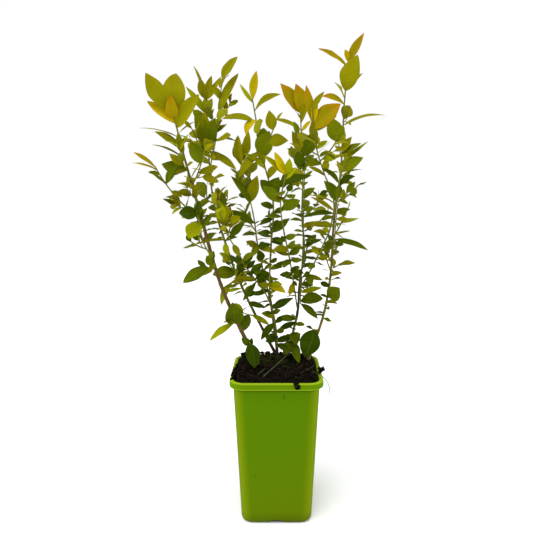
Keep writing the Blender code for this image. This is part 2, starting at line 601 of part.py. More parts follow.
def marked_leaf(mark, stems):
    root = leaf_root(stems[mark.stem], mark.share)[0]
    chord = Vector(mark.to) * MM
    turn = math.radians(mark.turn)
    faces = Vector((0, -math.sin(turn), math.cos(turn)))
    bend = math.radians(mark.bend)
    length = chord.length * (bend / 2) / math.sin(bend / 2)
    chord.normalize()
    normal = (faces - faces.dot(chord) * chord).normalized()
    size = (length, mark.width * MM, bend)
    return Leaf(root, chord, normal, *size, mark.tint, mark.shoot, mark.stem, MARKED_STATIONS)


def leaf_size(share):
    """A shoot's leaves are small at its foot, full above the middle and small again at the tip."""
    return 0.72 + 0.36 * math.sin(math.pi * min(share * 1.1, 1.0) ** 1.2) - 0.10 * share


def other_tint(tint, draw):
    """The shoot's own tint, or now and then the next one darker or lighter."""
    k = TINTS.index(tint)
    if draw < OTHER_TINT:
        return TINTS[max(k - 1, 0)]
    if draw > 1 - OTHER_TINT:
        return TINTS[min(k + 1, len(TINTS) - 1)]
    return tint


def outward(place):
    """The level direction from the middle of the crown to a place."""
    away = place - CROWN_AXIS
    return Vector((away.x, away.y, 0)).normalized()


def rule_leaves(shoot, stem, number, rng):
    """Leaves round one stem, each with the turned copies that may be tried in its place."""
    count = max(2, round(stem.length * (1 - BARE_SHARE) / (shoot.spacing * MM)))
    start = rng.uniform(0, 360)
    for i in range(count + 1):
        share = BARE_SHARE + (1 - BARE_SHARE) * i / count
        root, ahead = leaf_root(stem, share)
        side, other = square_to(ahead)
        low, tip = shoot.spread
        spread = math.radians(low + (tip - low) * share + rng.uniform(-SPREAD_SWAY, SPREAD_SWAY))
        size = shoot.leaf * MM * leaf_size(share) * stem.vigour
        size *= rng.uniform(1 - SIZE_SWAY, 1 + SIZE_SWAY)
        width = size * WIDTH_SHARE * rng.uniform(1 - SIZE_SWAY, 1 + SIZE_SWAY)
        bend = math.radians(rng.uniform(*BEND_RANGE))
        roll = math.radians(rng.uniform(-ROLL, ROLL))
        tint = other_tint(shoot.tint, rng.random())
        swing = start + i * LEAF_TURN + rng.uniform(-TURN_SWAY, TURN_SWAY)
        tries = []
        for turn in SWINGS:
            angle = math.radians(swing + turn)
            out = math.cos(angle) * side + math.sin(angle) * other
            chord = (math.cos(spread) * ahead + math.sin(spread) * out + DROOP).normalized()
            faces = ALONG_STEM * ahead + SKYWARD + FACE_OUT * outward(root)
            normal = (faces - faces.dot(chord) * chord).normalized()
            normal = Matrix.Rotation(roll, 3, chord) @ normal
            whole = (root, chord, normal, size, width, bend, tint, shoot.name, number)
            tries.append(Leaf(*whole, RULE_STATIONS))
        yield tries


# Canes and shoots


Limb = namedtuple("Limb", "cane path top")
Shoot = namedtuple("Shoot", "name leaf spacing twigs tint spread stems")
Stem = namedtuple("Stem", "path radii length vigour owner")


def make_stem(path, first, last, vigour, owner):
    count = len(path) - 1
    radii = [first + (last - first) * k / count for k in range(count + 1)]
    length = sum((b - a).length for a, b in zip(path, path[1:]))
    return Stem(path, radii, length, vigour, owner)


def stem_guard(stem):
    bm = bmesh.new()
    skin(bm, tube_rings(stem.path, [radius + GUARD for radius in stem.radii], 5))
    return tree_of(bm)


def heading_of(heading, rise):
    flat = math.cos(math.radians(rise))
    turn = math.radians(heading)
    return Vector((flat * math.cos(turn), flat * math.sin(turn), math.sin(math.radians(rise))))


def arching_path(start, heading, rise, length):
    """A path that leaves on a heading and turns up along its length."""
    steps = max(3, round(length / (SHOOT_STEP * MM)))
    path = [start]
    for k in range(steps):
        lift = SIDE_LIFT * (k + 0.5) / steps
        path.append(path[-1] + heading_of(heading, min(rise + lift, STEEPEST)) * length / steps)
    return path


def cane_radius(cane, share):
    return (cane.foot_radius + (cane.neck_radius - cane.foot_radius) * share) * MM


def beside(limb, height, ahead, own_radius):
    """Where a bough or shoot starts on a heading, just clear of the bark of its limb."""
    share = share_at_height(limb.path, height * MM)
    place, along = point_on(limb.path, share)
    radius = limb_radii(limb)[round(share * (len(limb.path) - 1))]
    cosine = abs(ahead.dot(along))
    sine = math.sqrt(1 - cosine * cosine)
    return place + ahead * (radius + CLEAR + own_radius * cosine) / sine


def limb_of(cane, limbs):
    """The cane's own limb, and the path of the leafy shoot that goes on from its tip."""
    way = [Vector(point) * MM for point in cane.way]
    if cane.host is None:
        foot = Vector((*cane.start, PEAT_TOP)) * MM + Vector((0, 0, CLEAR))
    else:
        host = limbs[cane.host]
        place, _ = point_on(host.path, share_at_height(host.path, cane.start * MM))
        ahead = (way[0] - place).normalized()
        foot = beside(host, cane.start, ahead, cane.foot_radius * MM)
    whole = spline([foot, *way], 3 * MM)
    split = round(share_at_height(whole, cane.leafy * MM) * (len(whole) - 1))
    ahead = (whole[split + 1] - whole[split]).normalized()
    top = [whole[split] + ahead * JOINT_CLEAR, *whole[split + 1 :]]
    return Limb(cane, even(whole[: split + 1], CANE_STEP * MM), even(top, SHOOT_STEP * MM))


def limb_radii(limb):
    """The cane's taper, with a flare where it leaves the peat."""
    count = len(limb.path) - 1
    radii = [cane_radius(limb.cane, k / count) for k in range(count + 1)]
    if limb.cane.host is None:
        for k, place in enumerate(limb.path):
            away = (place.z - PEAT_TOP * MM) / (FLARE_REACH * MM)
            radii[k] *= 1 + FLARE * math.exp(-away)
    return radii


def limb_rings(limb, guard=0.0):
    sides = 8 if limb.cane.foot_radius > THICK_CANE else 6
    radii = [radius + guard for radius in limb_radii(limb)]
    return tube_rings(limb.path, radii, sides, limb.cane.host is None)


def crown_shoot(crown, limb):
    owner = crown.cane + "_stem"
    first = limb.cane.neck_radius * MM * NECK_STEP
    stems = [make_stem(limb.top, first, TIP_RADIUS * MM, 1.0, owner + "0")]
    if crown.cane in FORKS:
        share, way = FORKS[crown.cane]
        start = point_on(limb.top, share)[0]
        path = spline([start, *[Vector(point) * MM for point in way]], SHOOT_STEP * MM)
        stems.append(make_stem(path, TWIG_RADIUS * MM, TIP_RADIUS * MM, 0.9, owner + "1"))
    looks = (crown.leaf, crown.spacing, crown.twigs, crown.tint, UPWARD_SPREAD)
    return Shoot(crown.cane, *looks, stems)


def side_shoot(side, limb):
    ahead = heading_of(side.heading, side.rise)
    start = beside(limb, side.height, ahead, SIDE_RADIUS * MM)
    path = arching_path(start, side.heading, side.rise, side.length * MM)
    stems = [make_stem(path, SIDE_RADIUS * MM, TIP_RADIUS * MM, 1.0, side.name + "_stem0")]
    looks = (side.leaf, side.spacing, side.twigs, side.tint, UPWARD_SPREAD)
    return Shoot(side.name, *looks, stems)


def climbing_shoot(climber, limb):
    """A shoot whose stem keeps just clear of the bark of its cane all the way up."""
    radii = limb_radii(limb)
    out = heading_of(climber.heading, 0)
    path = []
    for k in range(1, len(limb.path)):
        place = limb.path[k]
        if climber.foot * MM <= place.z <= climber.top * MM:
            ahead = (limb.path[min(k + 1, len(limb.path) - 1)] - limb.path[k - 1]).normalized()
            away = (out - ahead * out.dot(ahead)).normalized()
            path.append(place + away * (radii[k] + CLEAR + CLIMB_AIR + CLIMB_RADIUS * MM))
    stems = [make_stem(path, CLIMB_RADIUS * MM, CLIMB_RADIUS * MM, 1.0, climber.name + "_stem0")]
    looks = (climber.leaf, climber.spacing, 0, climber.tint, LEVEL_SPREAD)
    return Shoot(climber.name, *looks, stems)


def add_twigs(shoot, space, rng):
    """Side twigs from the main stem, each turned on until it touches nothing."""
    main = shoot.stems[0]
    for k in range(shoot.twigs):
        share = TWIG_FROM + TWIG_ROOM * (k + rng.uniform(0.2, 0.8)) / shoot.twigs
        swing = rng.uniform(0, 360) + k * LEAF_TURN
        length = min(main.length * TWIG_SHARE, TWIG_REACH) * rng.uniform(*TWIG_SWAY)
        root, ahead = point_on(main.path, share)
        side, other = square_to(ahead)
        owner = f"{shoot.name}_stem{len(shoot.stems)}"
        for turn in SWINGS:
            angle = math.radians(swing + turn)
            out = 0.75 * ahead + math.cos(angle) * side + math.sin(angle) * other
            rise = math.degrees(math.asin(out.normalized().z))
            path = arching_path(root, math.degrees(math.atan2(out.y, out.x)), rise, length)
            twig = make_stem(path, TWIG_RADIUS * MM, TIP_RADIUS * MM, TWIG_VIGOUR, owner)
            guard = stem_guard(twig)
            if space.free_for(guard, (main.owner,)):
                space.take(guard, owner)
                shoot.stems.append(twig)
                break


def settle(leaf, shoot, space, leaves, family=()):
    """Lets the leaf in if it stays in the crown and touches nothing but its stem and its family."""
    if not in_crown(leaf):
        return False
    if not space.bark.free_for(tree_of(leaf_shape(leaf))):
        return False
    guard = leaf_guard(leaf)
    if not space.free_for(guard, (shoot.stems[leaf.stem].owner, *family)):
        return False
    space.take(guard, leaf.shoot + "_leaf")
    leaves.append(leaf)
    return True


def node_is_taken(leaf, leaves):
    """Whether another leaf of the same shoot springs from almost the same place."""
    own = [other for other in leaves if other.shoot == leaf.shoot]
    return any((other.root - leaf.root).length < NODE_GAP for other in own)


def set_marked_leaves(shoots, space, leaves):
    by_name = {shoot.name: shoot for shoot in shoots}
    for mark in MARKED:
        shoot = by_name[mark.shoot]
        family = [stem.owner for stem in shoot.stems] + [shoot.name + "_leaf"]
        settle(marked_leaf(mark, shoot.stems), shoot, space, leaves, family)


def set_rule_leaves(shoot, space, leaves, rng):
    for number, stem in enumerate(shoot.stems):
        for tries in rule_leaves(shoot, stem, number, rng):
            if node_is_taken(tries[0], leaves):
                continue
            for leaf in tries:
                if settle(leaf, shoot, space, leaves):
                    break


def grow():
    """The limbs, the shoots with their stems, and every leaf, each clear of all the others."""
    bark = Space()
    space = Space(bark)
    limbs = {}
    for cane in CANES:
        limbs[cane.name] = limb_of(cane, limbs)
        bm = bmesh.new()
        skin(bm, limb_rings(limbs[cane.name], GUARD))
        space.take(tree_of(bm), cane.name)
        bm = bmesh.new()
        skin(bm, limb_rings(limbs[cane.name], CLEAR / 2))
        bark.take(tree_of(bm), cane.name)
    shoots = [crown_shoot(crown, limbs[crown.cane]) for crown in CROWNS]
    shoots += [side_shoot(side, limbs[side.cane]) for side in SIDES]
    shoots += [climbing_shoot(climber, limbs[climber.cane]) for climber in CLIMBERS]
    for shoot in shoots:
        for stem in shoot.stems:
            space.take(stem_guard(stem), stem.owner)
    for number, shoot in enumerate(shoots):
        add_twigs(shoot, space, random.Random(100 + number))
    leaves = []
    set_marked_leaves(shoots, space, leaves)
    for number, shoot in enumerate(shoots):
        set_rule_leaves(shoot, space, leaves, random.Random(500 + number))
    return limbs, shoots, leaves


# Solids


def rounded_square(width, corner, height):
    """Corner points of a square with round corners, anticlockwise, at one height."""
    places = []
    for quarter in range(4):
        middle = math.radians(45 + 90 * quarter)
        reach = (width / 2 - corner) * math.sqrt(2)
        centre = Vector((math.cos(middle), math.sin(middle), 0)) * reach
        for k in range(POT_CORNER_STEPS + 1):
            turn = math.radians(90 * quarter + 90 * k / POT_CORNER_STEPS)
            places.append(centre + corner * Vector((math.cos(turn), math.sin(turn), 0)))
    return [(place + Vector((0, 0, height))) * MM for place in places]


def pot_width(height):
    """Outer width of the tapered body at a height."""
    return POT_FOOT_WIDTH + (POT_NECK_WIDTH - POT_FOOT_WIDTH) * height / (POT_HEIGHT - POT_RIM_HEIGHT)


def build_pot(material):
    rim_foot = POT_HEIGHT - POT_RIM_HEIGHT
    heel = POT_HEEL
    walls = 2 * POT_WALL
    inner_corner = POT_CORNER - POT_WALL
    band = POT_RIM_WIDTH - 2 * POT_RIM_ROUND
    levels = [
        (pot_width(0) - 2 * heel, POT_CORNER - heel, 0),
        (pot_width(0) - 0.6 * heel, POT_CORNER - 0.3 * heel, 0.3 * heel),
        (pot_width(heel), POT_CORNER, heel),
        (pot_width(rim_foot), POT_CORNER, rim_foot),
        (band, POT_RIM_CORNER - 1, rim_foot),
        (POT_RIM_WIDTH, POT_RIM_CORNER, rim_foot + POT_RIM_ROUND),
        (POT_RIM_WIDTH, POT_RIM_CORNER, POT_HEIGHT - POT_RIM_ROUND),
        (band, POT_RIM_CORNER - 1, POT_HEIGHT),
        (POT_MOUTH_WIDTH + POT_RIM_ROUND, POT_CORNER, POT_HEIGHT),
        (POT_MOUTH_WIDTH, POT_CORNER - 1, POT_HEIGHT - POT_RIM_ROUND),
        (pot_width(rim_foot) - walls, inner_corner, rim_foot - POT_STEP_DROP),
        (pot_width(POT_FLOOR) - walls, inner_corner, POT_FLOOR),
    ]
    bm = bmesh.new()
    skin(bm, [rounded_square(*level) for level in levels])
    pot = add_object("pot", bm, material, smooth=True)
    pot.data.set_sharp_from_angle(angle=math.radians(35))
    for quarter in range(4):
        cut_notch(pot, quarter)
    return pot


def cut_notch(pot, quarter):
    """A drain notch through the foot of one wall, with a round top."""
    turn = Matrix.Rotation(math.radians(90 * quarter), 4, "Z")
    half = NOTCH_WIDTH / 2
    shoulder = NOTCH_SHOULDER * NOTCH_HEIGHT
    top = NOTCH_TOP_SHARE * half
    outline = [
        Vector((-half, 0, -CUT_PAST)),
        Vector((half, 0, -CUT_PAST)),
        Vector((half, 0, shoulder)),
        Vector((top, 0, NOTCH_HEIGHT)),
        Vector((-top, 0, NOTCH_HEIGHT)),
        Vector((-half, 0, shoulder)),
    ]
    wall = POT_FOOT_WIDTH / 2
    rings = []
    for depth in (wall + CUT_PAST, wall - NOTCH_DEPTH):
        rings.append([turn @ ((corner - Vector((0, depth, 0))) * MM) for corner in outline])
    bm = bmesh.new()
    skin(bm, rings)
    cutter = add_object(f"notch_cutter_{quarter}", bm)
    cutter.hide_render = True
    cutter.display_type = "WIRE"
    cut = pot.modifiers.new(f"notch_{quarter}", "BOOLEAN")
    cut.operation = "DIFFERENCE"
    cut.object = cutter


def build_peat(material):
    rim_foot = POT_HEIGHT - POT_RIM_HEIGHT
    air = 2 * (POT_WALL + CLEAR / MM)
    foot = POT_FLOOR + CLEAR / MM
    neck = rim_foot - POT_STEP_DROP - PEAT_BELOW_STEP
    mouth = pot_width(rim_foot) - air - CLEAR / MM
    corner = POT_CORNER - POT_WALL
    levels = [
        (pot_width(foot) - air, corner, foot),
        (pot_width(neck) - air, corner, neck),
        (mouth, corner, PEAT_EDGE),
        (mouth * PEAT_SHOULDER_SHARE, corner, PEAT_SHOULDER),
        (mouth * PEAT_LEVEL_SHARE, corner, PEAT_TOP),
    ]
    bm = bmesh.new()
    skin(bm, [rounded_square(*level) for level in levels])
    return add_object("peat", bm, material)


def build_limb(limb, material):
    bm = bmesh.new()
    skin(bm, limb_rings(limb))
    kind = "cane_" if limb.cane.host is None else "bough_"
    return add_object(kind + limb.cane.name, bm, material, smooth=True)


def keep_largest_body(mesh):
    """Drops loose scraps and the inner walls of sealed hollows."""
    bm = bmesh.new()
    bm.from_mesh(mesh)
    bmesh.ops.triangulate(bm, faces=bm.faces)
    left = set(bm.faces)
    bodies = []
    while left:
        group = {left.pop()}
        edge = list(group)
        while edge:
            near = {other for line in edge.pop().edges for other in line.link_faces if other in left}
            left -= near
            group |= near
            edge.extend(near)
        bodies.append(group)
    bodies.sort(key=len)
    for group in bodies[:-1]:
        bmesh.ops.delete(bm, geom=list(group), context="FACES")
    bm.to_mesh(mesh)
    bm.free()
    return len(bodies) - 1


def build_pieces(shoot, leaves, material):
    """The shoot's twigs and leaves, as loose objects in a collection of their own."""
    parts = bpy.data.collections.new(shoot.name + "_parts")
    bpy.context.scene.collection.children.link(parts)
    pieces = []
    for stem in shoot.stems[1:]:
        bm = bmesh.new()
        skin(bm, tube_rings(stem.path, stem.radii, 3))
        pieces.append(add_object(stem.owner, bm, material))
    for k, leaf in enumerate(leaves):
        pieces.append(add_object(f"{shoot.name}_leaf{k}", leaf_shape(leaf), material))
    for piece in pieces:
        bpy.context.scene.collection.objects.unlink(piece)
        parts.objects.link(piece)
    return parts, pieces


def build_mass(shoot, leaves, material):
    """One leafy shoot: its stems and leaves joined into one body by a single union."""
    bm = bmesh.new()
    skin(bm, tube_rings(shoot.stems[0].path, shoot.stems[0].radii, 3))
    mass = add_object("shoot_" + shoot.name, bm, material)
    parts, pieces = build_pieces(shoot, leaves, material)
    union = mass.modifiers.new("leaves", "BOOLEAN")
    union.operation = "UNION"
    union.operand_type = "COLLECTION"
    union.collection = parts
    graph = bpy.context.evaluated_depsgraph_get()
    mass.data = bpy.data.meshes.new_from_object(mass.evaluated_get(graph))
    mass.modifiers.clear()
    for piece in pieces:
        bpy.data.objects.remove(piece, do_unlink=True)
    bpy.data.collections.remove(parts)
    dropped = keep_largest_body(mass.data)
    return mass, dropped


def main():
    clear_scene()
    tints = {tint: make_material(tint, LEAF_ROUGHNESS) for tint in TINTS}
    build_pot(make_material("pot", POT_ROUGHNESS))
    build_peat(make_material("peat", PEAT_ROUGHNESS))
    bark = make_material("bark", BARK_ROUGHNESS)
    limbs, shoots, leaves = grow()
    for limb in limbs.values():
        build_limb(limb, bark)
    for shoot in shoots:
        own = [leaf for leaf in leaves if leaf.shoot == shoot.name]
        build_mass(shoot, own, tints[shoot.tint])


main()
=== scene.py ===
# Blueberry bush in a square nursery pot, dressed for its picture: leaves, twigs, bark, pot and peat.
# Metres, +Z up. The origin is the middle of the pot's flat underside, and -Y faces the viewer.

import math
import random
from collections import namedtuple

import bmesh
import bpy
import numpy as np
from mathutils import Matrix, Vector, noise
from mathutils.bvhtree import BVHTree


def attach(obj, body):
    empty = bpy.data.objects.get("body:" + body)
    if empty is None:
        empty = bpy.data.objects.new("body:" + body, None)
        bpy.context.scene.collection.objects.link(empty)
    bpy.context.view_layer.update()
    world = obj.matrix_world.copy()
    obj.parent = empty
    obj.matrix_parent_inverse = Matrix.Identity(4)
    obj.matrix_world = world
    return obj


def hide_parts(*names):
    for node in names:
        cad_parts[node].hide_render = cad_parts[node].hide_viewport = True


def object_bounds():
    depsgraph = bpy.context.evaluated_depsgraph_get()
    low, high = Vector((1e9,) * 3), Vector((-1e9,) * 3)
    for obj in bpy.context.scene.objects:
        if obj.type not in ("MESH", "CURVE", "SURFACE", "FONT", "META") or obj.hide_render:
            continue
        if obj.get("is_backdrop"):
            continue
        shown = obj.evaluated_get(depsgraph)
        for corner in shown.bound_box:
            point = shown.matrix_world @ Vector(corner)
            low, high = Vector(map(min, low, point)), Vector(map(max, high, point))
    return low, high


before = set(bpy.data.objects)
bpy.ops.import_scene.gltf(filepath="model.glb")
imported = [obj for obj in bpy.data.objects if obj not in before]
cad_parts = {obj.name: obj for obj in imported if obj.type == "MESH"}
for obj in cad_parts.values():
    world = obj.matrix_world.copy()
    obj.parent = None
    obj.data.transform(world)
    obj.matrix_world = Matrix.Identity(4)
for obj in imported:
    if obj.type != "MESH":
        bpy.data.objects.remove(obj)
frame_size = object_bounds()

MM = 0.001
CLEAR = 0.3 * MM

# Pot, in millimetres: a tapered square with round corners, a proud rim band and four drain notches
POT_HEIGHT = 198.0
POT_FOOT_WIDTH = 93.8
POT_NECK_WIDTH = 110.5
POT_RIM_WIDTH = 120.0
POT_RIM_HEIGHT = 9.0
POT_RIM_ROUND = 1.6
POT_MOUTH_WIDTH = 109.0
POT_WALL = 1.6
POT_FLOOR = 2.4
POT_CORNER = 15.0
POT_RIM_CORNER = 19.0
POT_STEP_DROP = 4.0
POT_CORNER_STEPS = 10
POT_HEEL = 3.5
NOTCH_WIDTH = 19.0
NOTCH_HEIGHT = 5.0
NOTCH_DEPTH = 7.0
NOTCH_SHOULDER = 0.35
NOTCH_TOP_SHARE = 0.82
CUT_PAST = 3.0

# Peat, in millimetres: a plug with a level middle, where the canes stand, and a sunk edge
PEAT_TOP = 204.0
PEAT_EDGE = 192.0
PEAT_LEVEL_SHARE = 0.88
PEAT_SHOULDER_SHARE = 0.96
PEAT_SHOULDER = 200.5
PEAT_BELOW_STEP = 2.0

# Canes and boughs: what one springs from, the points it passes in millimetres, its radii, and
# the height where its leafy shoot takes over. A cane stands on the peat, a bough on its host.
Cane = namedtuple("Cane", "name host start foot_radius neck_radius leafy way")
CANES = (
    Cane("left", None, (-25, -5), 2.7, 2.0, 412,
         ((-69, -25, 312), (-94, -38, 412), (-108, -46, 470), (-120, -53, 526))),
    Cane("left_back", None, (1, 30), 2.0, 1.4, 436,
         ((-16, 34, 236), (-47, 43, 298), (-68, 52, 350), (-91, 61, 435), (-97, 65, 562))),
    Cane("centre", None, (2, 12), 1.4, 1.1, 424,
         ((-1, 7, 253), (-9, 2, 303), (-7, -4, 366), (-4, -8, 420), (-16, -14, 471), (-29, -25, 543))),
    Cane("left_front", "centre", 282, 1.0, 0.9, 368,
         ((-16, -6, 305), (-35, -24, 334), (-50, -43, 365), (-61, -57, 388), (-68, -76, 424))),
    Cane("back_left", None, (1, 44), 1.4, 1.0, 410,
         ((-4, 52, 242), (-10, 68, 279), (-22, 90, 328), (-30, 102, 365), (-36, 107, 407),
          (-56, 114, 486))),
    Cane("back_right", None, (17, 27), 1.7, 1.2, 432,
         ((21, 29, 232), (30, 33, 268), (32, 39, 306), (39, 48, 354), (36, 54, 403), (37, 60, 466),
          (33, 66, 545))),
    Cane("front", "back_right", 270, 1.0, 0.9, 396,
         ((25, 24, 301), (18, 2, 343), (13, -14, 367), (7, -34, 396), (5, -50, 423), (11, -70, 452))),
    Cane("rear", None, (19, 46), 1.3, 1.0, 372,
         ((29, 62, 255), (36, 80, 302), (40, 98, 350), (41, 108, 395), (42, 114, 440), (43, 118, 470))),
    Cane("right", None, (43, 12), 1.9, 1.4, 438,
         ((58, 13, 248), (67, 15, 280), (74, 18, 330), (77, 20, 397), (85, 22, 462), (88, 24, 542),
          (92, 22, 600))),
    Cane("right_front", "right", 396, 1.0, 0.9, 452,
         ((74, 8, 430), (63, -6, 450), (52, -26, 474), (45, -42, 493), (41, -56, 526))),
    Cane("slant", "back_right", 300, 1.0, 0.9, 402,
         ((45, 26, 325), (58, 2, 359), (67, -16, 384), (71, -32, 413), (79, -54, 469))),
)
CANE_STEP = 20.0
THICK_CANE = 2.5
NECK_STEP = 0.96
JOINT_CLEAR = 1.2 * CLEAR
FLARE = 0.35
FLARE_REACH = 9.0

# Leafy shoots that crown a cane: leaf length and spacing in millimetres, twigs and tint
Crown = namedtuple("Crown", "cane leaf spacing twigs tint")
CROWNS = (
    Crown("left", 34, 12.0, 1, "olive"),
    Crown("left_back", 32, 13.0, 1, "olive"),
    Crown("left_front", 22, 9.0, 1, "olive"),
    Crown("centre", 29, 13.0, 1, "olive"),
    Crown("back_left", 30, 9.5, 2, "green"),
    Crown("front", 26, 9.5, 1, "green"),
    Crown("back_right", 30, 12.0, 2, "olive"),
    Crown("rear", 30, 14.0, 1, "green"),
    Crown("right", 28, 24.0, 1, "olive"),
    Crown("right_front", 27, 14.0, 1, "olive"),
    Crown("slant", 21, 16.0, 0, "green"),
)

# Side shoots: the cane and the height they leave it, heading (0 right, 90 away, 180 left,
# 270 to the viewer) and rise in degrees, length in millimetres, then as for a crown
Side = namedtuple("Side", "name cane height heading rise length leaf spacing twigs tint")
SIDES = (
    Side("left_arch", "left", 398, 205, 37, 80, 22, 12.0, 0, "olive"),
    Side("left_shelf", "left", 386, 262, 25, 36, 23, 8.5, 0, "green"),
    Side("left_knot", "left", 338, 235, 5, 16, 20, 7.0, 0, "green"),
    Side("left_inner", "left", 312, 40, 20, 40, 21, 8.5, 0, "green"),
    Side("left_step", "left", 264, 235, 15, 11, 18, 7.0, 0, "green"),
    Side("left_heel", "left", 230, 275, 30, 11, 15, 7.0, 0, "deep"),
    Side("left_reach", "left", 352, 125, 30, 52, 27, 9.0, 1, "green"),
    Side("left_back_low", "left_back", 262, 205, 10, 24, 20, 8.0, 0, "green"),
    Side("left_back_far", "left_back", 300, 105, 28, 54, 27, 9.0, 1, "deep"),
    Side("left_back_wing", "left_back", 395, 75, 30, 50, 29, 9.0, 1, "olive"),
    Side("left_back_out", "left_back", 418, 170, 30, 44, 27, 9.0, 1, "green"),
    Side("centre_high", "centre", 372, 95, 35, 38, 25, 8.5, 0, "deep"),
    Side("back_left_high", "back_left", 378, 120, 30, 48, 28, 9.0, 1, "green"),
    Side("back_right_mid", "back_right", 330, 75, 28, 52, 27, 13.0, 0, "deep"),
    Side("back_right_high", "back_right", 380, 345, 25, 40, 24, 12.0, 0, "olive"),
    Side("right_foot", "right", 248, 215, 5, 11, 15, 7.0, 0, "deep"),
    Side("right_out", "right", 332, 350, 20, 12, 16, 7.0, 0, "olive"),
    Side("right_back", "right", 328, 100, 28, 50, 27, 17.0, 0, "green"),
    Side("right_wing", "right", 374, 55, 32, 48, 24, 12.0, 0, "olive"),
    Side("right_high", "right", 420, 330, 25, 36, 18, 14.0, 0, "green"),
)

# Climbing shoots: each lies along its cane between two heights, on the side that its heading names,
# and carries small leaves
Climber = namedtuple("Climber", "name cane foot top heading leaf spacing tint")
CLIMBERS = (
    Climber("left_back_mid", "left_back", 262, 352, 270, 20, 8.5, "green"),
    Climber("left_back_bend", "left_back", 353, 434, 270, 23, 8.5, "green"),
    Climber("left_front_low", "left_front", 306, 366, 270, 20, 8.5, "deep"),
    Climber("centre_foot", "centre", 214, 288, 270, 20, 8.5, "deep"),
    Climber("centre_low", "centre", 291, 352, 270, 20, 8.5, "green"),
    Climber("centre_mid", "centre", 353, 424, 270, 22, 8.5, "deep"),
    Climber("back_left_low", "back_left", 246, 334, 270, 22, 8.5, "green"),
    Climber("back_left_mid", "back_left", 335, 408, 270, 23, 8.5, "deep"),
    Climber("front_foot", "back_right", 212, 268, 270, 19, 8.5, "green"),
    Climber("front_low", "front", 306, 392, 270, 20, 8.5, "green"),
    Climber("back_right_low", "back_right", 262, 332, 20, 20, 11.0, "deep"),
    Climber("back_right_bend", "back_right", 344, 428, 270, 21, 12.0, "green"),
    Climber("right_low", "right", 256, 346, 270, 20, 13.0, "green"),
    Climber("right_in", "right", 348, 434, 330, 21, 13.0, "green"),
    Climber("slant_low", "slant", 318, 400, 270, 16, 18.0, "green"),
    Climber("rear_low", "rear", 268, 368, 270, 23, 11.0, "deep"),
)
CLIMB_RADIUS = 0.8
CLIMB_AIR = 0.25 * MM

# How far the leaves of a shoot spread from its stem, at its foot and at its tip, in degrees
LEVEL_SPREAD = (92.0, 64.0)
UPWARD_SPREAD = (66.0, 30.0)

SIDE_LIFT = 26.0
STEEPEST = 84.0
SIDE_RADIUS = 1.05
TWIG_RADIUS = 0.95
TIP_RADIUS = 0.8
SHOOT_STEP = 20.0

# A second leader that forks from the left_back crown: share along it, then points in millimetres
FORKS = {"left_back": (0.25, ((-84, 56, 505), (-78, 50, 545), (-72, 42, 584)))}

